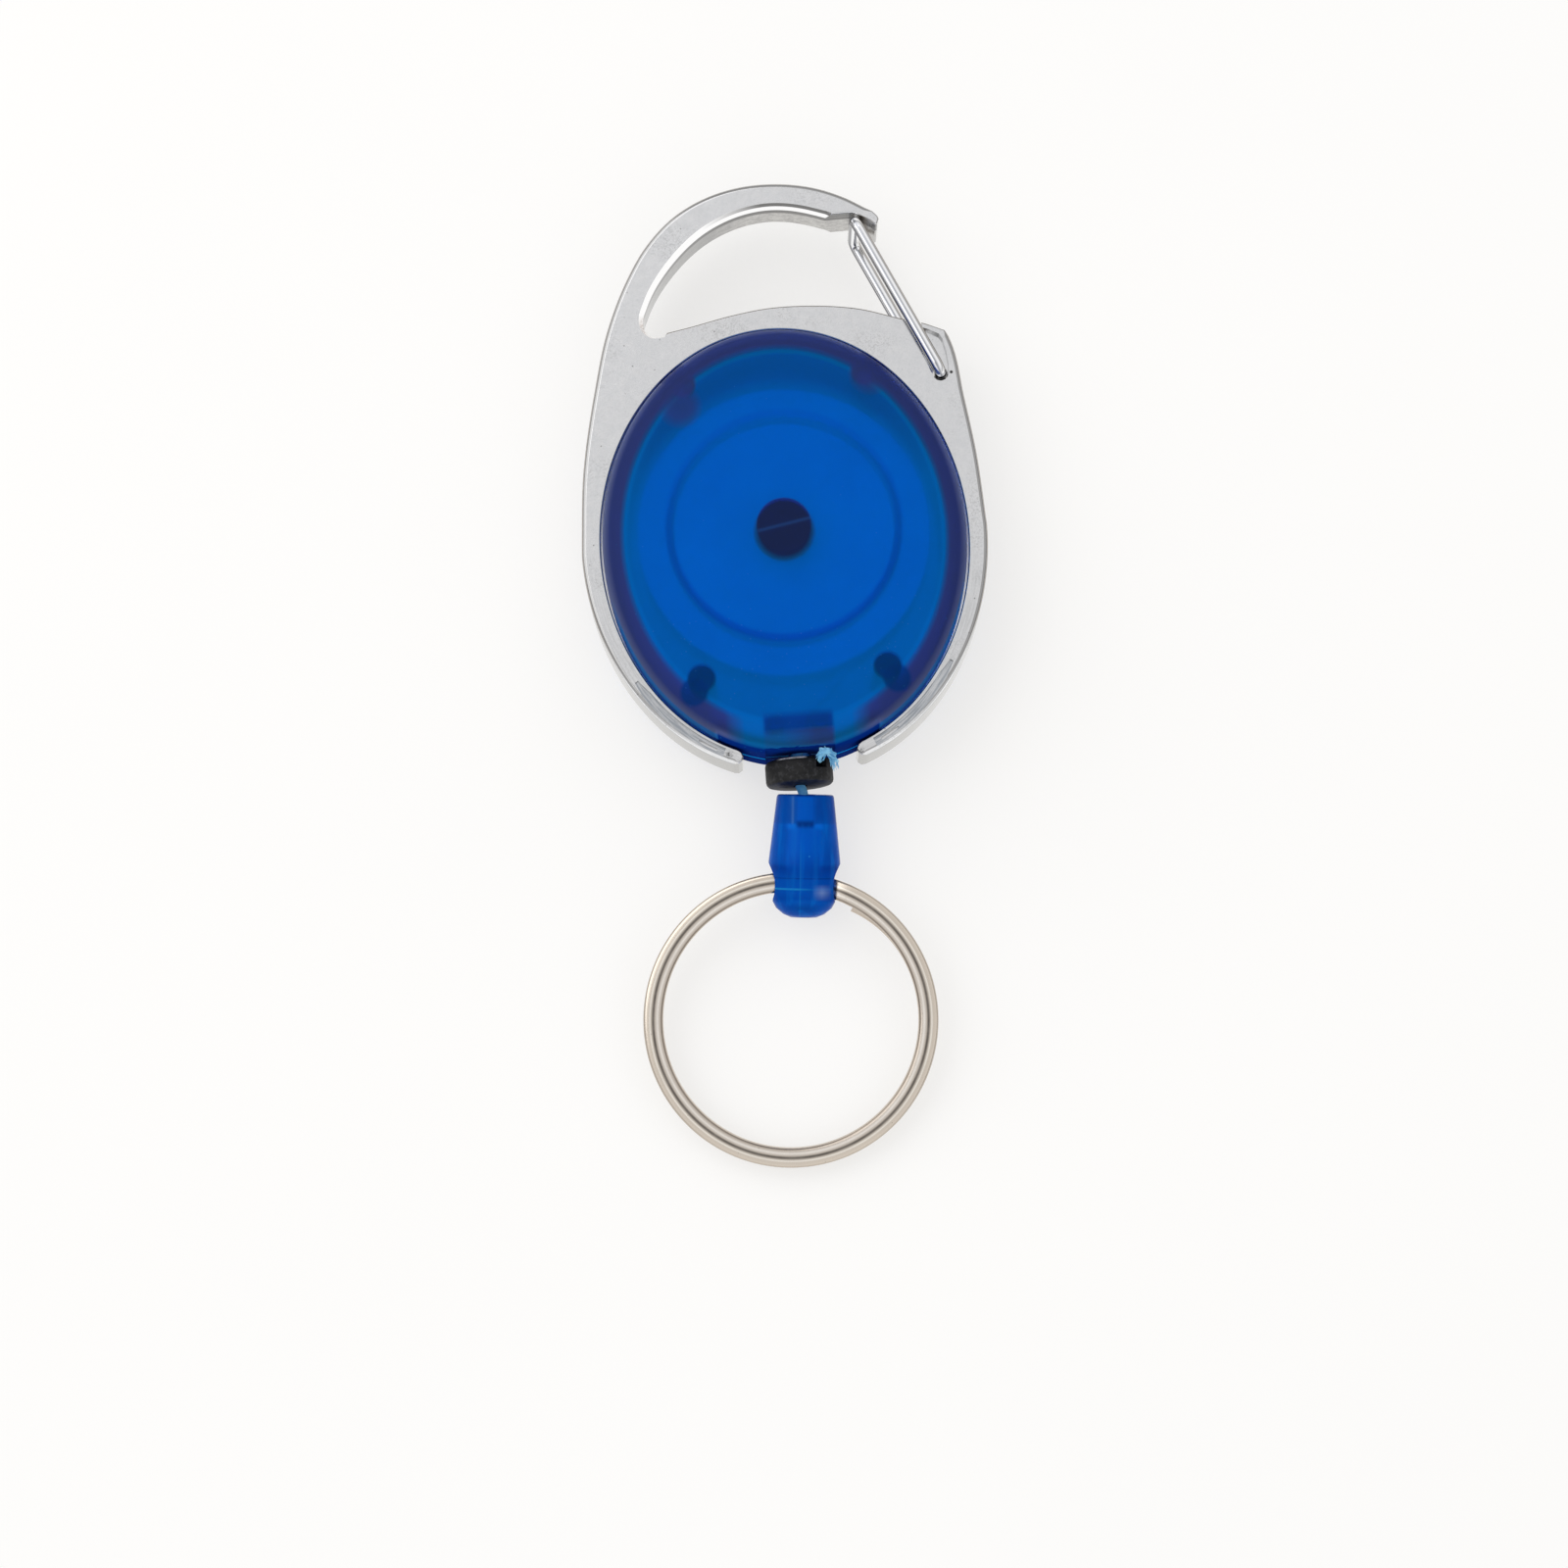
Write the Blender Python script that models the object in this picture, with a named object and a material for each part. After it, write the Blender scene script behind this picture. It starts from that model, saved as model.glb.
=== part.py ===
"""A retractable key reel: a chromed carabiner frame holds a two-shell case with a spring-driven
cord spool, and the cord ends in a swivel fitting with a split ring.

Axes: X to the right, Y towards the hook, Z towards the front. The origin lies on the spool's axis,
on the flat back face that the reel rests on. All lengths are metres.
"""

import bmesh
import bpy
from math import acos, asin, atan2, cos, pi, radians, sin, sqrt
from mathutils import Matrix, Vector

# Clearances
SEAT_GAP = 0.0002        # between pieces that seat on each other
RUN_GAP = 0.0003         # between pieces that run in each other
CUT_OVERRUN = 0.001      # how far every cutter passes the face that it opens
BOND_DEPTH = 0.0004      # how far a joined boss sinks into its floor

# Case: two oval shells, their centre a little below the spool's axis
CASE_DROP = 0.00115
SIDE_ROOM = 0.0023       # from the spool's rim to the wall at the sides
END_ROOM = 0.0059        # the same at the ends, where the pins and guides stand
CASE_THICKNESS = 0.0125
CASE_WALL = 0.0013
DOME_RISE = 0.0030
DOME_INSET = 0.0026
OVAL_STEPS = 72
DOME_STEPS = 6
LIP_WIDTH = 0.0002       # break of the sharp edge at the parting line

# Assembly pins of the rear shell and their sockets in the front shell
PIN_RADIUS = 0.00075
PIN_ANGLES = (radians(55.3), radians(-50.2))
PIN_ROOM_TOP = 0.0007    # from the upper pins' bosses out to the case's outline
PIN_ROOM_BOTTOM = 0.0025
PIN_HEIGHT_SHARE = 0.72
SOCKET_WALL = 0.00045
PIN_STEPS = 16

# Hub post, fixed in the rear shell; the slot across it holds the spring's inner end
POST_RADIUS = 0.00275
POST_SLOT_YAW = radians(10.5)
POST_STEPS = 32
COLLAR_WIDTH = 0.0009
COLLAR_HEIGHT = 0.0007

# Cord and its way out of the case
CORD_RADIUS = 0.0005
NOTCH_HALF_WIDTH = 0.0035
NOTCH_DEPTH = 0.0006
EXIT_GAP = 0.0005
GUIDE_RADIUS = 0.0008
GUIDE_SPACING = 0.0046
GUIDE_SETBACK = 0.0030
GUIDE_HEIGHT = 0.0084

# Spool: a cup for the spring inside a grooved drum for the cord
CUP_RADIUS = 0.0116
CORE_DEPTH = 0.0011      # the inner layers of cord
SPOOL_LIP = 0.0009       # how far the flanges stand above the outer layer
SPOOL_FLANGE = 0.0006
CUP_WALL = 0.0009
WEB_THICKNESS = 0.0009
CROWN_RISE = 0.0004
CROWN_WIDTH = 0.0005
HEADROOM = 0.0021        # from the spool's front disc to the front shell
SPOOL_STEPS = 40
COVER_THICKNESS = 0.0005
COVER_LEDGE = 0.0005

# Power spring: a flat strip wound in the cup
STRIP_THICKNESS = 0.0002
SPRING_TURNS = 8
SPRING_STEPS = 24
ANCHOR_DEPTH = 0.0006

# Wound cord: an outer layer of turns over a plain core
WINDING_TURNS = 2.75
LOOP_POINTS = 24
RUN_STEPS = 5

# Carabiner frame
FRAME_THICKNESS = 0.0065
LEG_WIDTH = 0.0020
LEG_TIP_WIDTH = 0.0015
PRONG_GAP = 0.0124
HOOK_RISE = 0.0158
FRAME_FILLET = 0.0005
ARCH_CHAMFER_WIDTH = 0.0004
ARCH_CHAMFER_DEPTH = 0.0012
SMALL_BREAK = 0.00015
RIB_DEPTH = 0.0007
RIB_HEIGHT = 0.0020
CHANNEL_WIDTH = 0.0009
CHANNEL_DEPTH = 0.0004
CHANNEL_SHARES = (0.5, 0.955)
SLIT_WIDTH = 0.0003
SLIT_DEPTH = 0.0009
SLIT_SHARES = (0.83, 0.92)

# Wire gate
WIRE_RADIUS = 0.0006
GATE_BEND_RADIUS = 0.0011
PIVOT_SHARE = (0.8293, 0.4185)
GATE_TOP_SHARE = (0.4611, 0.8687)
PIVOT_DEPTH = 0.0018
POCKET_DEPTH = 0.0008
POCKET_GAP = 0.00025

# Stopper, and the cord's end
STOPPER_RADIUS = 0.00345
STOPPER_LENGTH = 0.0026
STOPPER_ROUND = 0.0005
STOPPER_GAP = 0.0006
STOPPER_SIDE = 0.0002
TAIL_LENGTH = 0.0018
TAIL_RISE = 0.0011
TAIL_LEAN = radians(48.0)
KNOT_RADIUS = 0.0014

# Ring fitting: a turned body with a bore, a cavity for the knot and a cross slot for the ring
FITTING_LENGTH = 0.0125
FITTING_RADIUS = 0.00366
BORE_GAP = 0.0004
FITTING_GAP = 0.0009
FITTING_SHIFT = 0.00027
FITTING_DROOP = radians(10.1)
FITTING_YAW = radians(4.97)
FITTING_STEPS = 36
CAVITY_GAP = 0.0004
CAVITY_SHARE = 0.272
SLOT_SHARE = 0.72
SLOT_GAP_LENGTH = 0.00078
SLOT_GAP_DEPTH = 0.00054
SLOT_FLARE_LENGTH = 0.00035
SLOT_FLARE_DEPTH = 0.0006
SLOT_STEPS = 24

# Split ring: one flat strand wound twice
RING_RADIUS = 0.0150
RING_BAND = 0.0020
RING_STRAND = 0.00112
RING_STRAND_GAP = 0.00012
RING_ROUND = 0.00035
RING_CROWN = 0.0001
RING_CORNER_STEPS = 1
RING_SIDE = 0.00114
RING_RAMP = radians(30.0)
RING_CUT_ANGLE = radians(92.0)
RING_PEEK = 0.0004
RING_PEEK_ANGLE = radians(40.0)
RING_STEPS = 48
REST_GAP = 0.00005

# Shares of the fitting's length and of its widest radius
FITTING_SHARES = (
    (0.0, 0.74), (0.007, 0.78), (0.022, 0.80), (0.545, 1.0), (0.60, 1.0), (0.76, 0.965),
    (0.86, 0.90), (0.925, 0.78), (0.975, 0.58), (1.0, 0.38),
)

# Shares of the hook's height (Y, from the spool's axis) and of the frame's half width (X)
SIDE_SHARES = ((1.0, -0.02), (0.976, 0.19), (0.938, 0.35), (0.897, 0.505))
CORNER_SHARES = ((0.883, 0.5275), (0.866, 0.541))
SHOULDER_SHARES = (
    (0.763, 0.5655), (0.655, 0.583), (0.462, 0.618), (0.186, 0.6385),
    (-0.002, 0.6385), (-0.159, 0.627), (-0.410, 0.5975), (-0.520, 0.586),
)
EYE_END_SHARES = ((-0.582, 0.5865), (-0.615, 0.604), (-0.622, 0.632), (-0.598, 0.672))
ARCH_INNER_SHARES = (
    (-0.458, 0.792), (-0.268, 0.882), (-0.090, 0.922), (0.040, 0.931),
    (0.118, 0.928), (0.215, 0.9165), (0.263, 0.908), (0.320, 0.897),
)
BRIDGE_SHARES = ((0.350, 0.8975), (0.430, 0.8985), (0.466, 0.8965))
LIP_INNER_SHARES = ((0.493, 0.887), (0.540, 0.871))
LIP_TIP_SHARES = ((0.564, 0.858), (0.573, 0.859))
NOSE_SHARES = ((0.584, 0.8755), (0.578, 0.884), (0.554, 0.899))
ARCH_OUTER_SHARES = (
    (0.520, 0.913), (0.428, 0.9445), (0.276, 0.980), (0.090, 0.999), (-0.112, 0.9955),
    (-0.270, 0.9725), (-0.432, 0.9245), (-0.599, 0.831), (-0.686, 0.7525), (-0.804, 0.603),
    (-0.884, 0.436), (-0.966, 0.205), (-1.0, -0.02),
)
# The pocket of the gate's legs: its left wall going down, and its right wall going up
POCKET_LEFT_SHARES = ((0.672, 0.590), (0.6735, 0.5705), (0.7361, 0.5017), (0.782, 0.424))
POCKET_RIGHT_SHARES = ((0.872, 0.445), (0.866, 0.480), (0.853, 0.515), (0.836, 0.531), (0.790, 0.545),
                       (0.757, 0.552), (0.750, 0.590))
RIB_SHARE = 0.94
CURVE_STEPS = 3
LEG_STEPS = 22
WINDOW_STEPS = 81

# Sizes and heights that follow from the ones above
WINDING_RADIUS = CUP_RADIUS + SEAT_GAP + CORE_DEPTH + SEAT_GAP + CORD_RADIUS
SPOOL_RADIUS = WINDING_RADIUS + CORD_RADIUS + SPOOL_LIP
CASE_HALF_WIDTH = SPOOL_RADIUS + SIDE_ROOM + CASE_WALL
CASE_HALF_LENGTH = SPOOL_RADIUS + END_ROOM + CASE_WALL
BOSS_RADIUS = PIN_RADIUS + SEAT_GAP + SOCKET_WALL
MID_HEIGHT = CASE_THICKNESS / 2
FRAME_BACK = MID_HEIGHT - FRAME_THICKNESS / 2
FRAME_FRONT = MID_HEIGHT + FRAME_THICKNESS / 2
FLOOR_TOP = CASE_WALL
CEILING = CASE_THICKNESS - CASE_WALL
CASE_TOP = CASE_HALF_LENGTH - CASE_DROP
CASE_BOTTOM = -CASE_HALF_LENGTH - CASE_DROP
FRAME_HALF_WIDTH = CASE_HALF_WIDTH + SEAT_GAP + LEG_WIDTH
HOOK_TOP = CASE_TOP + HOOK_RISE
SPOOL_BACK = FLOOR_TOP + COLLAR_HEIGHT + RUN_GAP
SPOOL_FRONT = CEILING - HEADROOM
GROOVE_BACK = SPOOL_BACK + SPOOL_FLANGE
GROOVE_FRONT = SPOOL_FRONT - SPOOL_FLANGE
SPOOL_BORE = POST_RADIUS + RUN_GAP
STRIP_SLOT = STRIP_THICKNESS + 2 * SEAT_GAP
WINDING_RISE = GROOVE_FRONT - GROOVE_BACK - 2 * (CORD_RADIUS + SEAT_GAP)
EXIT_RADIUS = CORD_RADIUS + EXIT_GAP
PIVOT = (PIVOT_SHARE[0] * FRAME_HALF_WIDTH, PIVOT_SHARE[1] * HOOK_TOP)
GATE_TOP = (GATE_TOP_SHARE[0] * FRAME_HALF_WIDTH, GATE_TOP_SHARE[1] * HOOK_TOP)
NOTCH_FLOOR = CASE_BOTTOM + NOTCH_DEPTH
STOPPER_BACK = NOTCH_FLOOR - STOPPER_GAP
STOPPER_FACE = STOPPER_BACK - STOPPER_LENGTH
FITTING_TOP = STOPPER_FACE - FITTING_GAP
FITTING_BORE = CORD_RADIUS + BORE_GAP
CAVITY_RADIUS = KNOT_RADIUS + CAVITY_GAP
CAVITY_TOP = CAVITY_SHARE * FITTING_LENGTH
SLOT_CENTRE = SLOT_SHARE * FITTING_LENGTH
RING_HEIGHT = 2 * RING_STRAND + RING_STRAND_GAP
SLOT_HALF_LENGTH = RING_BAND / 2 + SLOT_GAP_LENGTH
SLOT_HALF_DEPTH = RING_HEIGHT / 2 + SLOT_GAP_DEPTH


# Scene and materials

def clear_scene():
    for ob in list(bpy.data.objects):
        bpy.data.objects.remove(ob, do_unlink=True)


def material(name, colour, roughness, metallic=0.0, transmission=0.0):
    mat = bpy.data.materials.new(name)
    mat.use_nodes = True
    shader = mat.node_tree.nodes["Principled BSDF"]
    shader.inputs["Base Color"].default_value = (*colour, 1.0)
    shader.inputs["Roughness"].default_value = roughness
    shader.inputs["Metallic"].default_value = metallic
    shader.inputs["Transmission Weight"].default_value = transmission
    return mat


def add_object(name, data, mat=None, parent=None):
    ob = bpy.data.objects.new(name, data)
    bpy.context.scene.collection.objects.link(ob)
    if mat:
        data.materials.append(mat)
    ob.parent = parent
    return ob


def add_empty(name, location, rotation=None, parent=None):
    ob = bpy.data.objects.new(name, None)
    bpy.context.scene.collection.objects.link(ob)
    ob.location = location
    if rotation:
        ob.rotation_euler = rotation
    ob.parent = parent
    return ob


def mesh_from(bm, name, smooth_angle=radians(35.0)):
    bmesh.ops.recalc_face_normals(bm, faces=bm.faces)
    mesh = bpy.data.meshes.new(name)
    bm.to_mesh(mesh)
    bm.free()
    mesh.shade_smooth()
    mesh.set_sharp_from_angle(angle=smooth_angle)
    return mesh


def boolean(ob, cutter, operation):
    mod = ob.modifiers.new(cutter.name, "BOOLEAN")
    mod.operation = operation
    mod.solver = "EXACT"
    mod.object = cutter
    cutter.hide_render = True
    cutter.display_type = "WIRE"


def cut(ob, *cutters):
    for cutter in cutters:
        boolean(ob, cutter, "DIFFERENCE")


def join(ob, *additions):
    for addition in additions:
        boolean(ob, addition, "UNION")


# Forms

def loft(name, rings, mat=None, parent=None, smooth_angle=radians(35.0)):
    """Closed rings of equal count, joined in order and capped at both ends."""
    bm = bmesh.new()
    rows = [[bm.verts.new(p) for p in ring] for ring in rings]
    count = len(rows[0])
    for low, high in zip(rows, rows[1:]):
        for i in range(count):
            j = (i + 1) % count
            bm.faces.new((low[i], low[j], high[j], high[i]))
    bm.faces.new(rows[0][::-1])
    bm.faces.new(rows[-1])
    return add_object(name, mesh_from(bm, name, smooth_angle), mat, parent)


def turned(name, profile, steps, mat=None, parent=None, smooth_angle=radians(35.0)):
    """A closed outline of (radius, height) points spun about Z; radius 0 makes a pole."""
    bm = bmesh.new()
    rows = []
    for radius, height in profile:
        if radius == 0:
            rows.append([bm.verts.new((0, 0, height))])
        else:
            turn = [2 * pi * i / steps for i in range(steps)]
            rows.append([bm.verts.new((radius * cos(a), radius * sin(a), height)) for a in turn])
    for low, high in zip(rows, rows[1:] + rows[:1]):
        for i in range(steps):
            j = (i + 1) % steps
            corners = [low[i % len(low)], low[j % len(low)], high[j % len(high)], high[i % len(high)]]
            corners = list(dict.fromkeys(corners))
            if corners[2:]:
                bm.faces.new(corners)
    return add_object(name, mesh_from(bm, name, smooth_angle), mat, parent)


def rod(name, radius, low, high, steps, mat=None, parent=None):
    return turned(name, [(0, low), (radius, low), (radius, high), (0, high)], steps, mat, parent)


def block(name, low, high, parent=None):
    bm = bmesh.new()
    bmesh.ops.create_cube(bm, size=1.0)
    size = Vector(high) - Vector(low)
    middle = (Vector(high) + Vector(low)) / 2
    bmesh.ops.scale(bm, vec=size, verts=bm.verts)
    bmesh.ops.translate(bm, vec=middle, verts=bm.verts)
    return add_object(name, mesh_from(bm, name), None, parent)


def tube(name, points, radius, mat, resolution=2, parent=None, swell=None):
    curve = bpy.data.curves.new(name, "CURVE")
    curve.dimensions = "3D"
    curve.bevel_depth = radius
    curve.bevel_resolution = resolution
    curve.use_fill_caps = True
    spline = curve.splines.new("POLY")
    spline.points.add(len(points) - 1)
    for point, place, scale in zip(spline.points, points, swell or [1.0] * len(points)):
        point.co = (*place, 1.0)
        point.radius = scale
    return add_object(name, curve, mat, parent)


def smooth_through(points, steps):
    """Points on a smooth curve through the given ones, ends included, however they are spaced."""
    pts = [Vector(p) for p in points]
    spans = [(b - a).length for a, b in zip(pts, pts[1:])]
    slopes = [(b - a) / d for a, b, d in zip(pts, pts[1:], spans)]
    tangents = [slopes[0]]
    for before, after, d, e in zip(slopes, slopes[1:], spans, spans[1:]):
        tangents.append((before * e + after * d) / (d + e))
    tangents.append(slopes[-1])
    out = []
    for a, b, d, m, n in zip(pts, pts[1:], spans, tangents, tangents[1:]):
        for k in range(steps):
            t = k / steps
            rise = t * t * (3 - 2 * t)
            out.append(a * (1 - rise) + b * rise + m * d * t * (1 - t) ** 2 - n * d * t * t * (1 - t))
    return out + [pts[-1]]


def stretch(a, b, count):
    """Points from a towards b, b left out."""
    return [a + (b - a) * k / count for k in range(count)]


def oval_point(angle, grow):
    """A point of the case's outline, moved out by grow, at an angle from its centre."""
    return Vector(((CASE_HALF_WIDTH + grow) * cos(angle),
                   (CASE_HALF_LENGTH + grow) * sin(angle) - CASE_DROP))


def oval_ring(grow, height, steps=OVAL_STEPS):
    return [(*oval_point(2 * pi * i / steps, grow), height) for i in range(steps)]


# Case shells

def shell_rings(front):
    """The outer skin from its flat face to the parting line, then the inner skin back."""
    part = MID_HEIGHT + SEAT_GAP / 2
    rings = []
    for k in range(DOME_STEPS, -1, -1):
        turn = (pi / 2) * k / DOME_STEPS
        height = CASE_THICKNESS - DOME_RISE * (1 - sin(turn))
        rings.append((-DOME_INSET * (1 - cos(turn)), height))
    rings.append((0, part + LIP_WIDTH))
    rings.append((-LIP_WIDTH, part))
    rings.append((-CASE_WALL, part))
    for k in range(0, DOME_STEPS + 1, 2):
        turn = (pi / 2) * k / DOME_STEPS
        height = CEILING - DOME_RISE * (1 - sin(turn))
        rings.append((-CASE_WALL - DOME_INSET * (1 - cos(turn)), height))
    return [oval_ring(grow, z if front else CASE_THICKNESS - z) for grow, z in rings]


def pin_places():
    corners = [oval_point(angle, -BOSS_RADIUS - room)
               for angle, room in zip(PIN_ANGLES, (PIN_ROOM_TOP, PIN_ROOM_BOTTOM))]
    return [(side * p.x, p.y) for side in (-1, 1) for p in corners]


def boss_foot():
    """A height inside the rear shell's wall, clear of its outer skin under the upper bosses."""
    share = 1 - PIN_ROOM_TOP / DOME_INSET
    skin = DOME_RISE * (1 - sqrt(1 - share ** 2))
    return (skin + FLOOR_TOP) / 2


def retaining_band(name, clearance):
    """The rib inside the frame's window, or, with clearance, the groove that takes it."""
    half = RIB_HEIGHT / 2 + clearance
    tip = prong_angle()
    tip = tip * RIB_SHARE
    angles = [tip + (pi - 2 * tip) * k / WINDOW_STEPS for k in range(WINDOW_STEPS + 1)]
    margin = clearance / CASE_HALF_LENGTH
    angles = [angles[0] - margin] + angles[1:-1] + [angles[-1] + margin]
    inner = [oval_point(a, SEAT_GAP - RIB_DEPTH - clearance) for a in angles]
    outer = [oval_point(a, SEAT_GAP + (BOND_DEPTH if not clearance else CUT_OVERRUN)) for a in angles]
    outline = inner + outer[::-1]
    rings = [[(*p, MID_HEIGHT + side * half) for p in outline] for side in (-1, 1)]
    return loft(name, rings)


def exit_cutters(prefix):
    """The notch that the stopper nests in, and the cord's hole with a rounded mouth."""
    notch = block(prefix + "_notch", (-NOTCH_HALF_WIDTH, CASE_BOTTOM - CUT_OVERRUN, -CUT_OVERRUN),
                  (NOTCH_HALF_WIDTH, NOTCH_FLOOR, CASE_THICKNESS + CUT_OVERRUN))
    wall = CASE_WALL - NOTCH_DEPTH
    flare = wall / 3
    wide = EXIT_RADIUS + flare + CUT_OVERRUN
    profile = [(0, -CUT_OVERRUN), (wide, -CUT_OVERRUN), (EXIT_RADIUS, flare), (EXIT_RADIUS, wall - flare),
               (wide, wall + CUT_OVERRUN), (0, wall + CUT_OVERRUN)]
    hole = turned(prefix + "_cord_hole", profile, PIN_STEPS)
    hole.location = (0, NOTCH_FLOOR, MID_HEIGHT)
    hole.rotation_euler = (-pi / 2, pi / PIN_STEPS, 0)
    return notch, hole


def make_front_shell(mat):
    ob = loft("front_shell", shell_rings(True), mat)
    bore_top = CASE_THICKNESS * PIN_HEIGHT_SHARE + SEAT_GAP
    for n, (x, y) in enumerate(pin_places()):
        socket = rod(f"socket_{n}", BOSS_RADIUS, MID_HEIGHT + RUN_GAP, CASE_THICKNESS - boss_foot(),
                     PIN_STEPS)
        bore = rod(f"socket_bore_{n}", PIN_RADIUS + SEAT_GAP, MID_HEIGHT - CUT_OVERRUN, bore_top,
                   PIN_STEPS)
        socket.location = bore.location = (x, y, 0)
        bore.rotation_euler = (0, 0, pi / PIN_STEPS)
        join(ob, socket)
        cut(ob, bore)
    cut(ob, *exit_cutters("front"), retaining_band("front_groove", SEAT_GAP))
    return ob


def make_rear_shell(mat):
    ob = loft("rear_shell", shell_rings(False), mat)
    collar_top = FLOOR_TOP + COLLAR_HEIGHT
    foot = FLOOR_TOP - BOND_DEPTH
    post_radius, post_top = POST_RADIUS, CEILING - SEAT_GAP
    collar_radius = SPOOL_BORE + COLLAR_WIDTH
    post = turned("hub_post", [(0, foot), (collar_radius, foot), (collar_radius, collar_top),
                               (post_radius, collar_top), (post_radius, post_top), (0, post_top)],
                  POST_STEPS)
    join(ob, post)
    for n, (x, y) in enumerate(pin_places()):
        low, shoulder, high = boss_foot(), MID_HEIGHT - SEAT_GAP, CASE_THICKNESS * PIN_HEIGHT_SHARE
        pin = turned(f"pin_{n}", [(0, low), (BOSS_RADIUS, low), (BOSS_RADIUS, shoulder),
                                  (PIN_RADIUS, shoulder), (PIN_RADIUS, high), (0, high)], PIN_STEPS)
        pin.location = (x, y, 0)
        join(ob, pin)
    for n, side in enumerate((-1, 1)):
        guide = rod(f"cord_guide_{n}", GUIDE_RADIUS, foot, FLOOR_TOP + GUIDE_HEIGHT, PIN_STEPS)
        guide.location = (side * GUIDE_SPACING / 2, NOTCH_FLOOR + GUIDE_SETBACK, 0)
        join(ob, guide)
    slot = block("spring_slot", (-POST_RADIUS - CUT_OVERRUN, -STRIP_SLOT / 2, SPOOL_BACK),
                 (POST_RADIUS + CUT_OVERRUN, STRIP_SLOT / 2, CASE_THICKNESS))
    slot.rotation_euler = (0, 0, POST_SLOT_YAW)
    cut(ob, slot, *exit_cutters("rear"), retaining_band("rear_groove", SEAT_GAP))
    return ob


# Spool, spring and wound cord

def make_spool(mat, parent):
    low, high = SPOOL_BACK, SPOOL_FRONT
    inner = CUP_RADIUS - CUP_WALL
    ledge = inner - COVER_LEDGE
    crown_in = CUP_RADIUS - SEAT_GAP
    crown_out = crown_in + CROWN_WIDTH
    cover_top = low + COVER_THICKNESS + 2 * SEAT_GAP
    profile = [
        (SPOOL_BORE, high - WEB_THICKNESS), (inner - COVER_LEDGE / 2, high - WEB_THICKNESS),
        (ledge + COVER_LEDGE / 2, cover_top), (inner, cover_top - SEAT_GAP), (inner, low),
        (SPOOL_RADIUS - SMALL_BREAK, low), (SPOOL_RADIUS, low + SMALL_BREAK),
        (SPOOL_RADIUS, GROOVE_BACK), (CUP_RADIUS, GROOVE_BACK), (CUP_RADIUS, GROOVE_FRONT),
        (SPOOL_RADIUS, GROOVE_FRONT), (SPOOL_RADIUS, high - SMALL_BREAK),
        (SPOOL_RADIUS - SMALL_BREAK, high), (crown_out, high),
        (crown_out - SMALL_BREAK, high + CROWN_RISE), (crown_in + SMALL_BREAK, high + CROWN_RISE),
        (crown_in, high), (SPOOL_BORE, high),
    ]
    ob = turned("spool", profile, SPOOL_STEPS, mat, parent)
    anchor = block("spring_anchor_slot", (inner - CUT_OVERRUN, -STRIP_SLOT / 2, cover_top),
                   (inner + ANCHOR_DEPTH, STRIP_SLOT / 2, high - WEB_THICKNESS - SEAT_GAP), parent)
    cut(ob, anchor)
    return ob


def make_spring_cover(mat, parent):
    outer = CUP_RADIUS - CUP_WALL - SEAT_GAP
    bore = SPOOL_BORE + COLLAR_WIDTH + RUN_GAP
    low, high = SPOOL_BACK, SPOOL_BACK + COVER_THICKNESS
    return turned("spring_cover", [(bore, low), (outer, low), (outer, high), (bore, high)],
                  SPOOL_STEPS, mat, parent)


def spring_path():
    """From the slot in the post, out of it, round the cup and into the anchor slot."""
    start = POST_RADIUS + RUN_GAP + STRIP_THICKNESS
    end = CUP_RADIUS - CUP_WALL - RUN_GAP - STRIP_THICKNESS
    count = SPRING_TURNS * SPRING_STEPS
    total = 2 * pi * SPRING_TURNS + POST_SLOT_YAW
    inner_tab = [Vector((r * cos(POST_SLOT_YAW), r * sin(POST_SLOT_YAW)))
                 for r in (POST_RADIUS / 2, start)]
    points = inner_tab
    for k in range(2, count):
        share = k / count
        angle = POST_SLOT_YAW - total * share
        radius = start + (end - start) * share
        points.append(Vector((radius * cos(angle), radius * sin(angle))))
    hook = CUP_RADIUS - CUP_WALL + ANCHOR_DEPTH / 2
    return points + [Vector((end + STRIP_THICKNESS, 0)), Vector((hook, 0))]


def make_power_spring(mat, parent):
    low = SPOOL_BACK + COVER_THICKNESS + RUN_GAP
    low = low + SEAT_GAP
    high = SPOOL_FRONT - WEB_THICKNESS - RUN_GAP
    path = spring_path()
    rings = []
    for k, p in enumerate(path):
        before = path[max(k - 1, 0)]
        after = path[min(k + 1, len(path) - 1)]
        along = (after - before).normalized()
        side = Vector((-along.y, along.x)) * STRIP_THICKNESS / 2
        rings.append([(*(p + side), low), (*(p - side), low), (*(p - side), high), (*(p + side), high)])
    return loft("power_spring", rings, mat, parent)


def make_cord_core(mat, parent):
    outer = WINDING_RADIUS - CORD_RADIUS - SEAT_GAP
    inner = CUP_RADIUS + SEAT_GAP
    low, high = GROOVE_BACK + SEAT_GAP, GROOVE_FRONT - SEAT_GAP
    return turned("cord_core", [(inner, low), (outer, low), (outer, high), (inner, high)],
                  SPOOL_STEPS, mat, parent)


def guide_bend():
    """Where the cord bends round the right guide post."""
    reach = GUIDE_RADIUS + CORD_RADIUS + RUN_GAP
    post = Vector((GUIDE_SPACING / 2, NOTCH_FLOOR + GUIDE_SETBACK))
    turn = (radians(140.0), radians(151.0), radians(162.0), radians(173.0))
    return [post + Vector((cos(a), sin(a))) * reach for a in turn]


def leaving_angle():
    """Where the cord leaves the drum on its way to the guide post."""
    aim = guide_bend()[0]
    return atan2(aim.y, aim.x) + acos(WINDING_RADIUS / aim.length)


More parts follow.
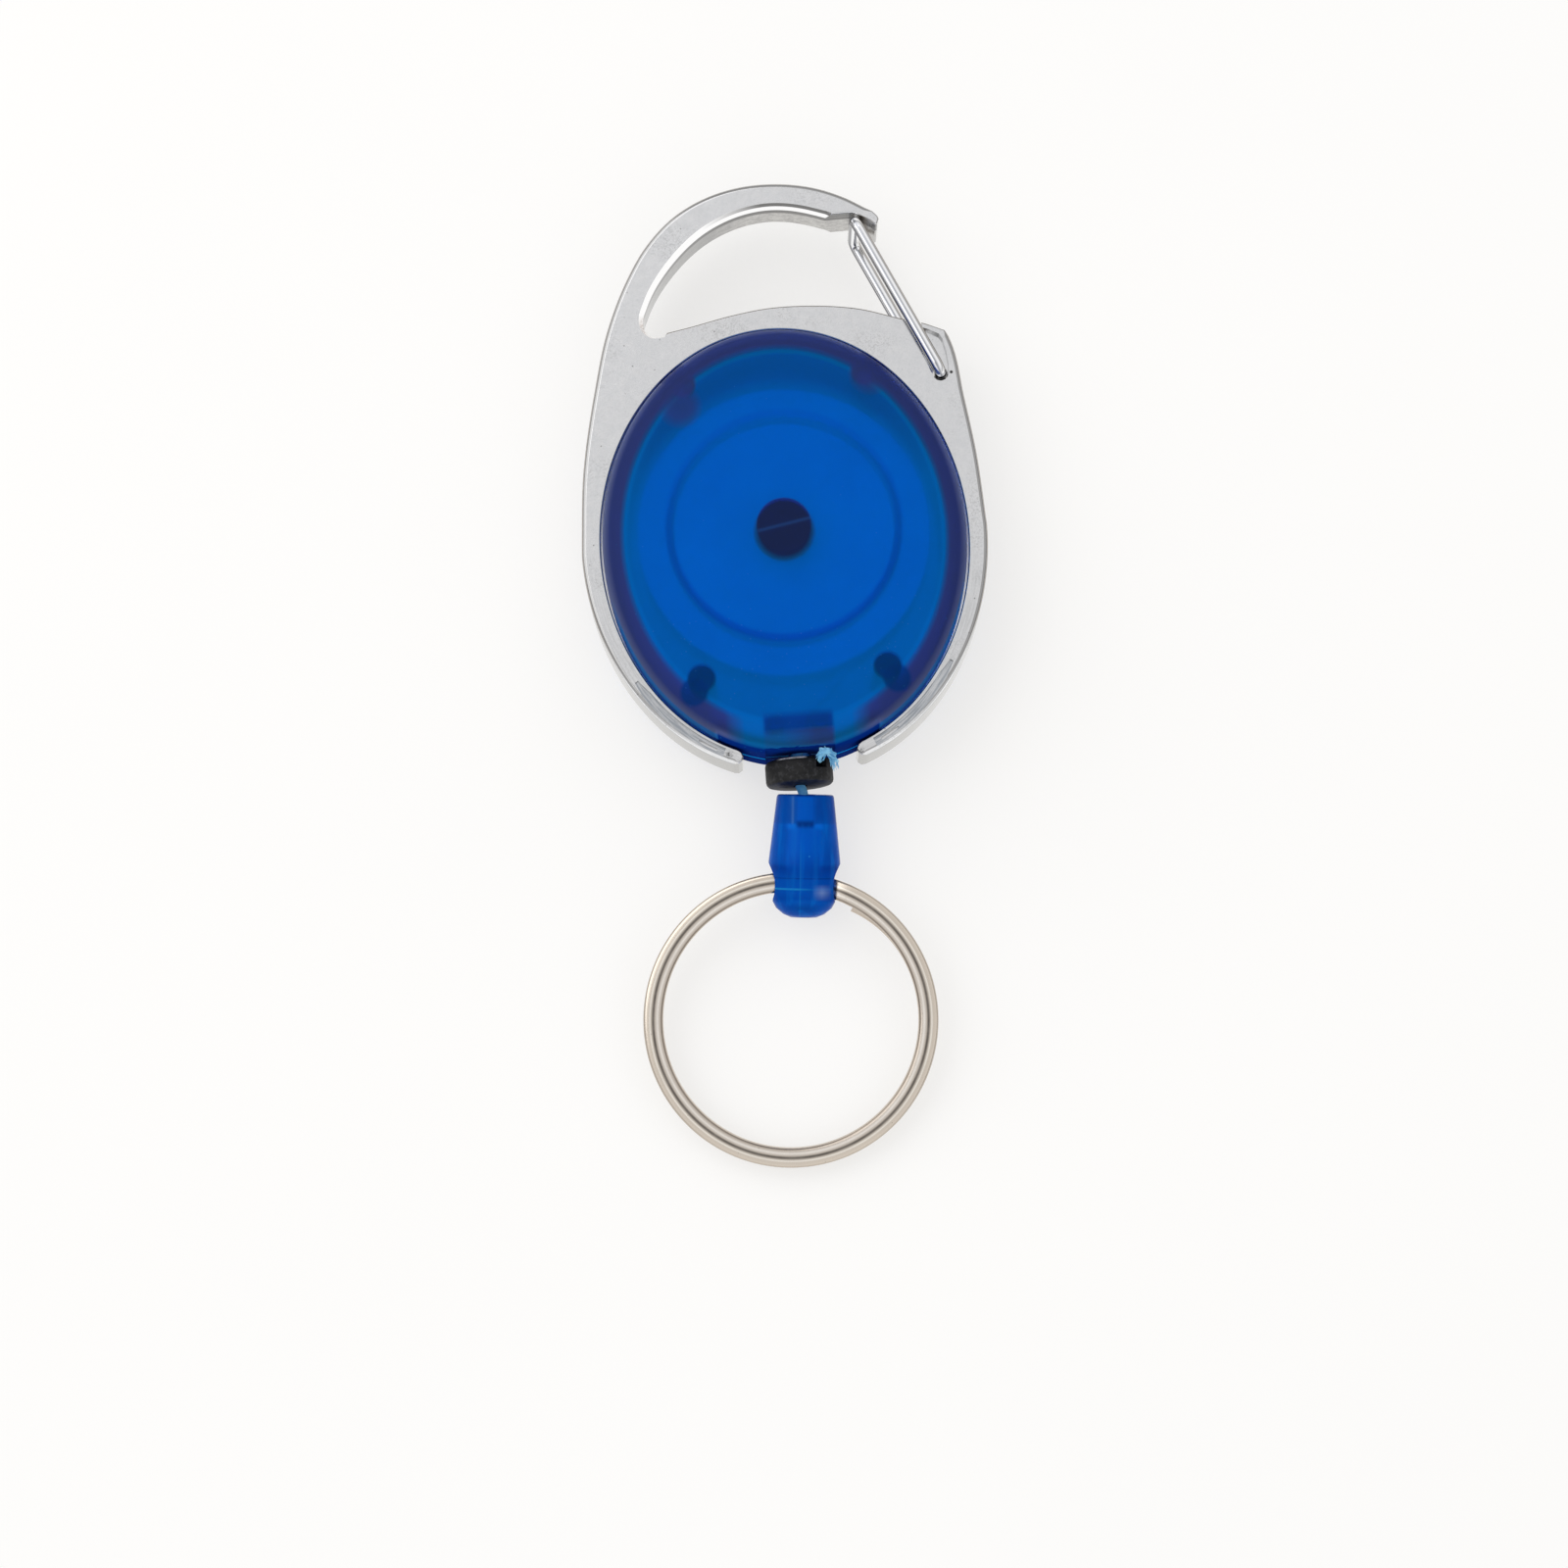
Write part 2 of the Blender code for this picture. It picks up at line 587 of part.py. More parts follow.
def winding_points():
    pitch = WINDING_RISE / WINDING_TURNS
    last = leaving_angle()
    count = round(WINDING_TURNS * LOOP_POINTS)
    start = GROOVE_BACK + SEAT_GAP + CORD_RADIUS
    points = []
    for k in range(count + 1):
        angle = last + 2 * pi * (count - k) / LOOP_POINTS
        height = start + pitch * k / LOOP_POINTS
        points.append(Vector((WINDING_RADIUS * cos(angle), WINDING_RADIUS * sin(angle), height)))
    return points


def least_gap(points, radius, apart):
    """The least clear distance between stretches that lie more than apart points away."""
    gaps = [(p - q).length for i, p in enumerate(points) for q in points[i + apart:]]
    return min(gaps) - 2 * radius


def run_start():
    angle = leaving_angle()
    tip = winding_points()[-1]
    along = Vector((sin(angle), -cos(angle), 0))
    return tip, along


def make_winding(mat, parent):
    points = winding_points()
    tip, along = run_start()
    points.append(tip + along * 2 * CORD_RADIUS)
    print("cord winding, least gap to itself:", least_gap(points, CORD_RADIUS, LOOP_POINTS // 2))
    return tube("cord_winding", points, CORD_RADIUS, mat, 1, parent)


def make_cord_run(mat):
    """From the drum past the guide post, through the exit and up to the stopper."""
    tip, along = run_start()
    start = tip + along * (2 * CORD_RADIUS + RUN_GAP)
    bend = [Vector((*p, MID_HEIGHT)) for p in guide_bend()]
    inside = Vector((0, NOTCH_FLOOR + CASE_WALL, MID_HEIGHT))
    end = Vector((-STOPPER_SIDE, STOPPER_BACK + RUN_GAP, MID_HEIGHT))
    points = stretch(start, bend[0], RUN_STEPS) + bend
    points += [inside, inside * 0.5 + end * 0.5, end + Vector((0, CORD_RADIUS, 0)), end]
    return tube("cord_run", points, CORD_RADIUS, mat)


# Carabiner frame

def prong_angle():
    """The angle on the oval, from its centre, of the right prong's tip; it is negative."""
    return -acos(PRONG_GAP / 2 / CASE_HALF_WIDTH)


def share_points(shares):
    return [Vector((x * FRAME_HALF_WIDTH, y * HOOK_TOP)) for x, y in shares]


def leg_outer(side):
    """The outer edge of a leg from its widest place to its tip."""
    tip = prong_angle()
    points = []
    for k in range(LEG_STEPS + 1):
        share = k / LEG_STEPS
        width = LEG_WIDTH + (LEG_TIP_WIDTH - LEG_WIDTH) * share
        point = oval_point(tip * share, SEAT_GAP + width)
        points.append(Vector((side * point.x, point.y)))
    return points


def tip_round(outer, inner):
    """A half-round end between a leg's outer and inner corner."""
    middle = (outer + inner) / 2
    arm = outer - middle
    across = Vector((-arm.y, arm.x))
    if across.x * middle.x > 0:
        across = -across
    return [middle + arm * cos(a) + across * sin(a) for a in (pi / 5, 2 * pi / 5, 3 * pi / 5, 4 * pi / 5)]


def frame_outline():
    """The outline counter-clockwise, each point with its edge break: width, depth, flat or round."""
    fillet = (FRAME_FILLET, FRAME_FILLET, False)
    chamfer = (ARCH_CHAMFER_WIDTH, ARCH_CHAMFER_DEPTH, True)
    small = (SMALL_BREAK, SMALL_BREAK, False)
    right, left = leg_outer(1), leg_outer(-1)
    tip = prong_angle()
    window = [oval_point(pi - tip - (pi - 2 * tip) * k / WINDOW_STEPS, SEAT_GAP)
              for k in range(WINDOW_STEPS + 1)]
    side = smooth_through(share_points(SIDE_SHARES + CORNER_SHARES[:1]), CURVE_STEPS)
    shoulder = smooth_through(share_points(CORNER_SHARES[1:] + SHOULDER_SHARES), CURVE_STEPS)
    eye = smooth_through(share_points(SHOULDER_SHARES[-1:] + EYE_END_SHARES + ARCH_INNER_SHARES),
                         CURVE_STEPS)
    lip = share_points(BRIDGE_SHARES + LIP_INNER_SHARES + LIP_TIP_SHARES + NOSE_SHARES)
    outer = smooth_through(share_points(ARCH_OUTER_SHARES), CURVE_STEPS)
    parts = [
        (right[::-1][:-1], fillet), (side, fillet), (shoulder[:-1], small),
        (eye, chamfer), (lip, small), (outer[:-1], fillet), (left, fillet),
        (tip_round(left[-1], window[0]), small), (window, small),
        (tip_round(window[-1], right[-1]), small),
    ]
    return [(point, edge) for points, edge in parts for point in points]


def inset(outline, widths):
    """The outline moved inwards by each point's own width."""
    out = []
    count = len(outline)
    for i, p in enumerate(outline):
        before = (p - outline[i - 1]).normalized()
        after = (outline[(i + 1) % count] - p).normalized()
        n1 = Vector((-before.y, before.x))
        n2 = Vector((-after.y, after.x))
        out.append(p + (n1 + n2) / max(1 + n1.dot(n2), 0.5) * widths[i])
    return out


def edge_break(edge, turn):
    """How far the edge has come inwards, and how far it still is below the face, at a turn."""
    width, depth, flat = edge
    if flat:
        share = turn / (pi / 2)
        return width * share, depth * (1 - share)
    return width * (1 - cos(turn)), depth * (1 - sin(turn))


def frame_plate(mat):
    data = frame_outline()
    outline = [p for p, edge in data]
    quarter = [(pi / 2) * k / 2 for k in range(3)]
    rings = []
    for side in (-1, 1):
        order = quarter[::-1] if side < 0 else quarter
        for turn in order:
            breaks = [edge_break(edge, turn) for p, edge in data]
            moved = inset(outline, [width for width, depth in breaks])
            rings.append([(p.x, p.y, MID_HEIGHT + side * (FRAME_THICKNESS / 2 - depth))
                          for p, (width, depth) in zip(moved, breaks)])
    return loft("carabiner_frame", rings, mat)


def gate_line():
    """The gate's direction from its pivot to its top, and its length."""
    span = Vector(GATE_TOP) - Vector(PIVOT)
    return span.normalized(), span.length


def pocket_cutter(side):
    """The shallow seat of a gate leg, round at the pivot and open through the shoulder's edge."""
    floor = FRAME_THICKNESS / 2 - POCKET_DEPTH
    half = WIRE_RADIUS + POCKET_GAP
    arc = [Vector(PIVOT) + Vector((cos(a), sin(a))) * half
           for a in (pi, 7 * pi / 6, 4 * pi / 3, 3 * pi / 2, 5 * pi / 3, 11 * pi / 6, 2 * pi)]
    outline = share_points(POCKET_LEFT_SHARES) + arc + share_points(POCKET_RIGHT_SHARES)
    heights = sorted((MID_HEIGHT + side * floor, MID_HEIGHT + side * (FRAME_THICKNESS / 2 + CUT_OVERRUN)))
    return loft(f"gate_pocket_{'front' if side > 0 else 'back'}",
                [[(*p, z) for p in outline] for z in heights])


def channel_cutter(name, mirror, side, width, depth, shares):
    """A shallow channel along the face of a leg, between two shares of the leg's length."""
    tip = prong_angle()
    first, last = [round(LEG_STEPS * share) for share in shares]
    inner, outer = [], []
    for k in range(first, last + 1):
        share = k / LEG_STEPS
        leg = LEG_WIDTH + (LEG_TIP_WIDTH - LEG_WIDTH) * share
        half = width / 2 * min(1, 0.4 + 4 * (k - first) / (last - first))
        inner.append(oval_point(tip * share, SEAT_GAP + leg / 2 - half))
        outer.append(oval_point(tip * share, SEAT_GAP + leg / 2 + half))
    outline = [Vector((mirror * p.x, p.y)) for p in inner + outer[::-1]]
    low = FRAME_THICKNESS / 2 - depth
    high = FRAME_THICKNESS / 2 + CUT_OVERRUN
    return loft(name, [[(*p, MID_HEIGHT + side * z) for p in outline] for z in (low, high)])


def make_frame(mat):
    ob = frame_plate(mat)
    join(ob, retaining_band("frame_rib", 0))
    for side in (-1, 1):
        cut(ob, pocket_cutter(side))
        for mirror in (-1, 1):
            cut(ob, channel_cutter(f"leg_channel_{side}_{mirror}", mirror, side,
                                   CHANNEL_WIDTH, CHANNEL_DEPTH, CHANNEL_SHARES))
            cut(ob, channel_cutter(f"leg_slit_{side}_{mirror}", mirror, side,
                                   SLIT_WIDTH, SLIT_DEPTH, SLIT_SHARES))
    hole = rod("pivot_hole", WIRE_RADIUS + SEAT_GAP, FRAME_BACK - CUT_OVERRUN, FRAME_FRONT + CUT_OVERRUN,
               PIN_STEPS)
    hole.location = (*PIVOT, 0)
    cut(ob, hole)
    return ob


# Wire gate

def gate_route():
    """From the pivot hole in front, up and over behind the nose, and down to the hole behind."""
    leg = FRAME_THICKNESS / 2 + SEAT_GAP + WIRE_RADIUS
    inside = FRAME_THICKNESS / 2 - PIVOT_DEPTH
    bend = GATE_BEND_RADIUS
    along, length = gate_line()

    def place(distance, height):
        return Vector((*(along * distance), height))

    quarter = [(pi / 2) * k / 4 for k in range(5)]
    front = [place(0, inside), place(0, leg - bend - WIRE_RADIUS)]
    front += [place(bend * (1 - cos(a)), leg - bend * (1 - sin(a))) for a in quarter]
    front += [place(length * k / 4, leg) for k in (1, 2, 3)]
    front += [place(length - bend * (1 - sin(a)), leg - bend * (1 - cos(a))) for a in quarter]
    front += [place(length, leg - bend - bend)]
    back = [Vector((p.x, p.y, -p.z)) for p in front[::-1]]
    return front + back


def make_gate(mat, parent):
    return tube("wire_gate", gate_route(), WIRE_RADIUS, mat, 2, parent)


# Stopper, cord end, fitting and ring

def make_stopper(mat):
    r, length, soft = STOPPER_RADIUS, STOPPER_LENGTH, STOPPER_ROUND
    bore = CORD_RADIUS + SEAT_GAP
    arc = [(pi / 2) * k / 3 for k in range(4)]
    profile = [(bore, 0)]
    profile += [(r - soft * (1 - sin(a)), soft * (1 - cos(a))) for a in arc]
    profile += [(r - soft * (1 - cos(a)), length - soft * (1 - sin(a))) for a in arc]
    profile += [(bore, length)]
    ob = turned("stopper", profile, FITTING_STEPS, mat)
    ob.location = (-STOPPER_SIDE, STOPPER_FACE, MID_HEIGHT)
    ob.rotation_euler = (-pi / 2, 0, 0)
    groove = block("tail_groove", (0, STOPPER_LENGTH - 2 * CORD_RADIUS - SEAT_GAP, -CORD_RADIUS - SEAT_GAP),
                   (STOPPER_RADIUS + CUT_OVERRUN, STOPPER_LENGTH + CUT_OVERRUN, CORD_RADIUS + SEAT_GAP))
    groove.location = (-STOPPER_SIDE, STOPPER_FACE, MID_HEIGHT)
    groove.rotation_euler = (0, -TAIL_LEAN, 0)
    cut(ob, groove)
    return ob


def tail_points():
    """The cord's tail: out along its groove, up between stopper and case, and down beside the stopper."""
    base = Vector((-STOPPER_SIDE, STOPPER_BACK - CORD_RADIUS, MID_HEIGHT))
    out = Vector((cos(TAIL_LEAN), 0, sin(TAIL_LEAN)))
    side = Vector((1, 0, 0))
    up = Vector((0, 1, 0))
    first = 2 * CORD_RADIUS + SEAT_GAP + RUN_GAP
    clear = STOPPER_RADIUS + CORD_RADIUS
    route = [base + out * first, base + out * (first + clear) / 2, base + out * clear,
             base + out * (clear + TAIL_RISE / 2) + up * CORD_RADIUS * 0.8,
             base + out * clear + side * TAIL_RISE * 0.7 + up * CORD_RADIUS * 0.6,
             base + out * clear + side * TAIL_RISE - up * TAIL_LENGTH / 3,
             base + out * (clear - TAIL_RISE / 2) + side * TAIL_RISE * 1.3 - up * TAIL_LENGTH]
    return smooth_through(route, CURVE_STEPS)


def make_tail(mat):
    points = tail_points()
    last = len(points) - 1
    taper = [1.0 - 0.6 * max(0, 2 * k / last - 1) for k in range(last + 1)]
    return tube("cord_tail", points, CORD_RADIUS * 0.9, mat, 1, None, taper)


def fitting_turn():
    """The turn of the fitting: its own Z runs up its axis, its own X along the slot."""
    return -(pi / 2 - FITTING_DROOP), 0, -FITTING_YAW


def fitting_axes():
    turn = Matrix.Rotation(-FITTING_YAW, 3, "Z") @ Matrix.Rotation(FITTING_DROOP - pi / 2, 3, "X")
    return turn @ Vector((1, 0, 0)), turn @ Vector((0, 0, -1))


def fitting_top():
    return Vector((FITTING_SHIFT, FITTING_TOP, MID_HEIGHT))


def make_cord_end(mat):
    """Through the stopper, into the fitting's bore, and a knot in the cavity."""
    across, axis = fitting_axes()
    top = fitting_top()
    start = Vector((-STOPPER_SIDE, STOPPER_BACK, MID_HEIGHT))
    leave = Vector((-STOPPER_SIDE, STOPPER_FACE, MID_HEIGHT))
    points = [start, start.lerp(leave, 1 / 3), start.lerp(leave, 2 / 3), leave]
    points += [leave * 0.45 + top * 0.55 + Vector((-STOPPER_SIDE / 3, 0, 0)), top + axis * FITTING_BORE]
    points.append(top + axis * CAVITY_TOP / 2)
    knot = KNOT_RADIUS / CORD_RADIUS
    centre = CAVITY_TOP + KNOT_RADIUS + RUN_GAP
    swell = [1.0] * len(points)
    for k in range(9):
        angle = pi * (k + 0.5) / 9
        points.append(top + axis * (centre - KNOT_RADIUS * cos(angle)))
        swell.append(max(1.0 if k == 0 else 0.0, knot * sin(angle)))
    return tube("cord_end", points, CORD_RADIUS, mat, 2, None, swell)


def make_fitting(mat, parent):
    body = [(0, 0)] + [(r * FITTING_RADIUS, -s * FITTING_LENGTH) for s, r in FITTING_SHARES]
    ob = turned("ring_fitting", body + [(0, -FITTING_LENGTH)], FITTING_STEPS, mat, parent)
    mouth = FITTING_BORE + SEAT_GAP
    bore = turned("fitting_bore", [
        (0, CUT_OVERRUN), (mouth, CUT_OVERRUN), (mouth, 0), (FITTING_BORE, -SEAT_GAP),
        (FITTING_BORE, -CAVITY_TOP), (CAVITY_RADIUS, -CAVITY_TOP - SEAT_GAP),
        (CAVITY_RADIUS, -(CAVITY_TOP + SLOT_CENTRE - SLOT_HALF_LENGTH) / 2),
        (KNOT_RADIUS, -SLOT_CENTRE + SLOT_HALF_LENGTH), (KNOT_RADIUS, -SLOT_CENTRE),
        (0, -SLOT_CENTRE)], PIN_STEPS, None, parent)
    rings = []
    reach = FITTING_RADIUS + CUT_OVERRUN
    for share in (-1.0, -0.6, -0.3, 0.0, 0.3, 0.6, 1.0):
        length = SLOT_HALF_LENGTH + SLOT_FLARE_LENGTH * share ** 2
        depth = SLOT_HALF_DEPTH + SLOT_FLARE_DEPTH * share ** 2
        turn = [2 * pi * k / SLOT_STEPS for k in range(SLOT_STEPS)]
        rings.append([(reach * share, depth * cos(a), length * sin(a) - SLOT_CENTRE) for a in turn])
    slot = loft("ring_slot", rings, None, parent)
    cut(ob, bore, slot)
    return ob


def strand_section():
    """The strand's outline: rounded corners and slightly crowned flats, as (radial, height)."""
    wide, tall, soft = RING_BAND / 2, RING_STRAND / 2, RING_ROUND
    flat = tall - RING_CROWN
    quarter = [(pi / 2) * k / RING_CORNER_STEPS for k in range(RING_CORNER_STEPS + 1)]
    corner = [(wide - soft * (1 - cos(a)), flat - soft * (1 - sin(a))) for a in quarter]
    top = corner + [(0, tall)] + [(-r, z) for r, z in corner[::-1]]
    return top + [(-r, -z) for r, z in top]


def make_split_ring(mat, parent, centre):
    """The strand: an upper turn, a ramp, and a lower turn under the first one."""
    half = (RING_STRAND + RING_STRAND_GAP) / 2
    mean = RING_RADIUS - RING_BAND / 2
    section = strand_section()
    flat = 2 * pi - RING_RAMP
    stops = [flat * k / RING_STEPS for k in range(RING_STEPS)]
    stops += [flat + RING_RAMP * k / 6 for k in range(6)]
    stops += [2 * pi + flat * k / RING_STEPS for k in range(RING_STEPS + 1)]
    rings = []
    for turn in stops:
        share = min(max((turn - flat) / RING_RAMP, 0), 1)
        height = half * cos(pi * share)
        tail = max((turn - stops[-1]) / RING_PEEK_ANGLE + 1, 0)
        radius = mean - RING_PEEK * tail ** 2
        angle = RING_CUT_ANGLE + turn
        rings.append([centre + Vector(((radius + r) * cos(angle), (radius + r) * sin(angle), height + z))
                      for r, z in section])
    return loft("split_ring", rings, mat, parent)


def ring_pose():
    """The slot's middle, the ring's tilt so that it rests on the back plane, and its centre's offset."""
    across, axis = fitting_axes()
    slot = fitting_top() + axis * SLOT_CENTRE
    mean = RING_RADIUS - RING_BAND / 2
    reach = sqrt(mean ** 2 - RING_SIDE ** 2)
    tilt = asin((slot.z - RING_HEIGHT / 2 - REST_GAP) / (reach + RING_RADIUS))
    return slot, tilt, Vector((-RING_SIDE, -reach, 0))


def main():
    clear_scene()
    blue = material("case_blue", (0.004, 0.11, 0.47), 0.35, 0.0, 0.6)
    chrome = material("chrome", (0.68, 0.69, 0.70), 0.16, 1.0)
    steel = material("wire_steel", (0.66, 0.66, 0.66), 0.14, 1.0)
    spool_mat = material("spool_blue", (0.02, 0.16, 0.50), 0.5)
    cover_mat = material("cover_clear", (0.55, 0.60, 0.66), 0.3)
    spring_mat = material("spring_steel", (0.35, 0.35, 0.37), 0.3, 1.0)
    cord_mat = material("cord_blue", (0.10, 0.36, 0.62), 0.8)
    rubber = material("rubber_black", (0.035, 0.034, 0.036), 0.75)
    ring_mat = material("ring_steel", (0.62, 0.58, 0.54), 0.2, 1.0)
    make_front_shell(blue)
    make_rear_shell(blue)
    spool_axis = add_empty("spool_axis", (0, 0, 0))
    make_spool(spool_mat, spool_axis)
    make_spring_cover(cover_mat, spool_axis)
    make_power_spring(spring_mat, spool_axis)
    make_cord_core(cord_mat, spool_axis)
    make_winding(cord_mat, spool_axis)
    make_cord_run(cord_mat)
    make_frame(chrome)
    gate_axis = add_empty("gate_axis", (*PIVOT, MID_HEIGHT))
    make_gate(steel, gate_axis)
    make_stopper(rubber)
    make_tail(cord_mat)
    make_cord_end(cord_mat)
    fitting_axis = add_empty("fitting_axis", fitting_top(), fitting_turn())
    make_fitting(blue, fitting_axis)
    slot, tilt, centre = ring_pose()
    ring_axis = add_empty("ring_axis", slot, (tilt, 0, -FITTING_YAW))
    make_split_ring(ring_mat, ring_axis, centre)


main()
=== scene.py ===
"""The looks of the retractable key reel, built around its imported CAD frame.

Axes and units are the frame's: X to the right, Y towards the hook, Z to the front, metres. The
forms repeat the part's own construction with finer steps, so each one stays on its CAD node.
"""

from math import acos, asin, atan2, cos, pi, radians, sin, sqrt

import bmesh
import bpy
from mathutils import Matrix, Vector


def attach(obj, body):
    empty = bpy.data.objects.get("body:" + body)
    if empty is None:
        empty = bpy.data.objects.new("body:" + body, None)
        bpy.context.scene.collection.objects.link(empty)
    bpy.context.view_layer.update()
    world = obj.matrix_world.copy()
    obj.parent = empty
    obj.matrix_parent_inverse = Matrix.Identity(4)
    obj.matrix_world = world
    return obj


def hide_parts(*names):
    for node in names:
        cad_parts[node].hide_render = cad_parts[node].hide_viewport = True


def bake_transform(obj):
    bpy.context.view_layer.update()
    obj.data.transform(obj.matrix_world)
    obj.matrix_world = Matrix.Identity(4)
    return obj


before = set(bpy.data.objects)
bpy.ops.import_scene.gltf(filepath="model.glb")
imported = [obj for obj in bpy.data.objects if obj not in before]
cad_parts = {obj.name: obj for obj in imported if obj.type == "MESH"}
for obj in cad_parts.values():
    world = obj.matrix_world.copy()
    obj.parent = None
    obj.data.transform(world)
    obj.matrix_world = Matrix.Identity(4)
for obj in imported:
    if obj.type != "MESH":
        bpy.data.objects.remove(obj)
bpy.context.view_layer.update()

# Clearances
SEAT_GAP = 0.0002        # between pieces that seat on each other
RUN_GAP = 0.0003         # between pieces that run in each other
CUT_OVERRUN = 0.001      # how far every cutter passes the face that it opens
BOND_DEPTH = 0.0004      # how far a joined boss sinks into its floor

# Case: two oval shells, their centre a little below the spool's axis
CASE_DROP = 0.00115
SIDE_ROOM = 0.0023       # from the spool's rim to the wall at the sides
END_ROOM = 0.0059        # the same at the ends, where the pins and guides stand
CASE_THICKNESS = 0.0125
CASE_WALL = 0.0013
DOME_RISE = 0.0030
DOME_INSET = 0.0026
OVAL_STEPS = 192
DOME_STEPS = 16
LIP_WIDTH = 0.0002       # break of the sharp edge at the parting line

# Assembly pins of the rear shell and their sockets in the front shell
PIN_RADIUS = 0.00075
PIN_ANGLES = (radians(55.3), radians(-50.2))
PIN_ROOM_TOP = 0.0007    # from the upper pins' bosses out to the case's outline
PIN_ROOM_BOTTOM = 0.0025
PIN_HEIGHT_SHARE = 0.72
SOCKET_WALL = 0.00045
PIN_STEPS = 32

# Hub post, fixed in the rear shell; the slot across it holds the spring's inner end
POST_RADIUS = 0.00275
POST_SLOT_YAW = radians(10.5)
POST_STEPS = 96
COLLAR_WIDTH = 0.0009
COLLAR_HEIGHT = 0.0007

# Cord and its way out of the case
CORD_RADIUS = 0.0005
NOTCH_HALF_WIDTH = 0.0035
NOTCH_DEPTH = 0.0006
EXIT_GAP = 0.0005
GUIDE_RADIUS = 0.0008
GUIDE_SPACING = 0.0046
GUIDE_SETBACK = 0.0030
GUIDE_HEIGHT = 0.0084

# Spool: a cup for the spring inside a grooved drum for the cord
CUP_RADIUS = 0.0116
CORE_DEPTH = 0.0011      # the inner layers of cord
SPOOL_LIP = 0.0009       # how far the flanges stand above the outer layer
SPOOL_FLANGE = 0.0006
CUP_WALL = 0.0009
WEB_THICKNESS = 0.0009
CROWN_RISE = 0.0004
CROWN_WIDTH = 0.0005
HEADROOM = 0.0021        # from the spool's front disc to the front shell
SPOOL_STEPS = 128
COVER_THICKNESS = 0.0005
COVER_LEDGE = 0.0005

# Power spring: a flat strip wound in the cup
STRIP_THICKNESS = 0.0002
SPRING_TURNS = 8
SPRING_STEPS = 24
ANCHOR_DEPTH = 0.0006

# Wound cord: an outer layer of turns over a plain core
WINDING_TURNS = 2.75
LOOP_POINTS = 24
RUN_STEPS = 5
BEND_ANGLES = (radians(140.0), radians(151.0), radians(162.0), radians(173.0))

# Carabiner frame
FRAME_THICKNESS = 0.0065
LEG_WIDTH = 0.0020
LEG_TIP_WIDTH = 0.0015
PRONG_GAP = 0.0124
HOOK_RISE = 0.0158
FRAME_FILLET = 0.0005
ARCH_CHAMFER_WIDTH = 0.0004
ARCH_CHAMFER_DEPTH = 0.0012
SMALL_BREAK = 0.00015
RIB_DEPTH = 0.0007
RIB_HEIGHT = 0.0020
CHANNEL_WIDTH = 0.0009
CHANNEL_DEPTH = 0.0004
CHANNEL_SHARES = (0.5, 0.955)
TAPER_START_SHARE = 0.4  # a channel's width where it starts
TAPER_GROWTH = 4         # and how fast it grows to the whole
SLIT_WIDTH = 0.0003
SLIT_DEPTH = 0.0009
SLIT_SHARES = (0.83, 0.92)

# Wire gate
WIRE_RADIUS = 0.0006
GATE_BEND_RADIUS = 0.0011
GATE_BEND_STEPS = 4
TUBE_RESOLUTION = 6
PIVOT_SHARE = (0.8293, 0.4185)
GATE_TOP_SHARE = (0.4611, 0.8687)
PIVOT_DEPTH = 0.0018
POCKET_DEPTH = 0.0008
POCKET_GAP = 0.00025

# Stopper, and the cord's end
STOPPER_RADIUS = 0.00345
STOPPER_LENGTH = 0.0026
STOPPER_ROUND = 0.0005
STOPPER_ROUND_STEPS = 3
STOPPER_GAP = 0.0006
STOPPER_SIDE = 0.0002
TAIL_LEAN = radians(48.0)
KNOT_RADIUS = 0.0014
KNOT_STEPS = 9

# Ring fitting: a turned body with a bore, a cavity for the knot and a cross slot for the ring
FITTING_LENGTH = 0.0125
FITTING_RADIUS = 0.00366
BORE_GAP = 0.0004
FITTING_GAP = 0.0009
FITTING_SHIFT = 0.00027
FITTING_DROOP = radians(10.1)
FITTING_YAW = radians(4.97)
FITTING_STEPS = 96
CAVITY_GAP = 0.0004
CAVITY_SHARE = 0.272
SLOT_SHARE = 0.72
SLOT_GAP_LENGTH = 0.00078
SLOT_GAP_DEPTH = 0.00054
SLOT_FLARE_LENGTH = 0.00035
SLOT_FLARE_DEPTH = 0.0006
SLOT_STEPS = 48
SLOT_SECTION_SHARES = (-1.0, -0.6, -0.3, 0.0, 0.3, 0.6, 1.0)

# Split ring: one flat strand wound twice
RING_RADIUS = 0.0150
RING_BAND = 0.0020
RING_STRAND = 0.00112
RING_STRAND_GAP = 0.00012
RING_ROUND = 0.00035
RING_CROWN = 0.0001
RING_CORNER_STEPS = 4
RING_SIDE = 0.00114
RING_RAMP = radians(30.0)
RING_CUT_ANGLE = radians(92.0)
RING_PEEK = 0.0004
RING_PEEK_ANGLE = radians(40.0)
RING_STEPS = 160
RING_RAMP_STEPS = 6
REST_GAP = 0.00005

# Shares of the fitting's length and of its widest radius
FITTING_SHARES = (
    (0.0, 0.74), (0.007, 0.78), (0.022, 0.80), (0.545, 1.0), (0.60, 1.0), (0.76, 0.965),
    (0.86, 0.90), (0.925, 0.78), (0.975, 0.58), (1.0, 0.38),
)

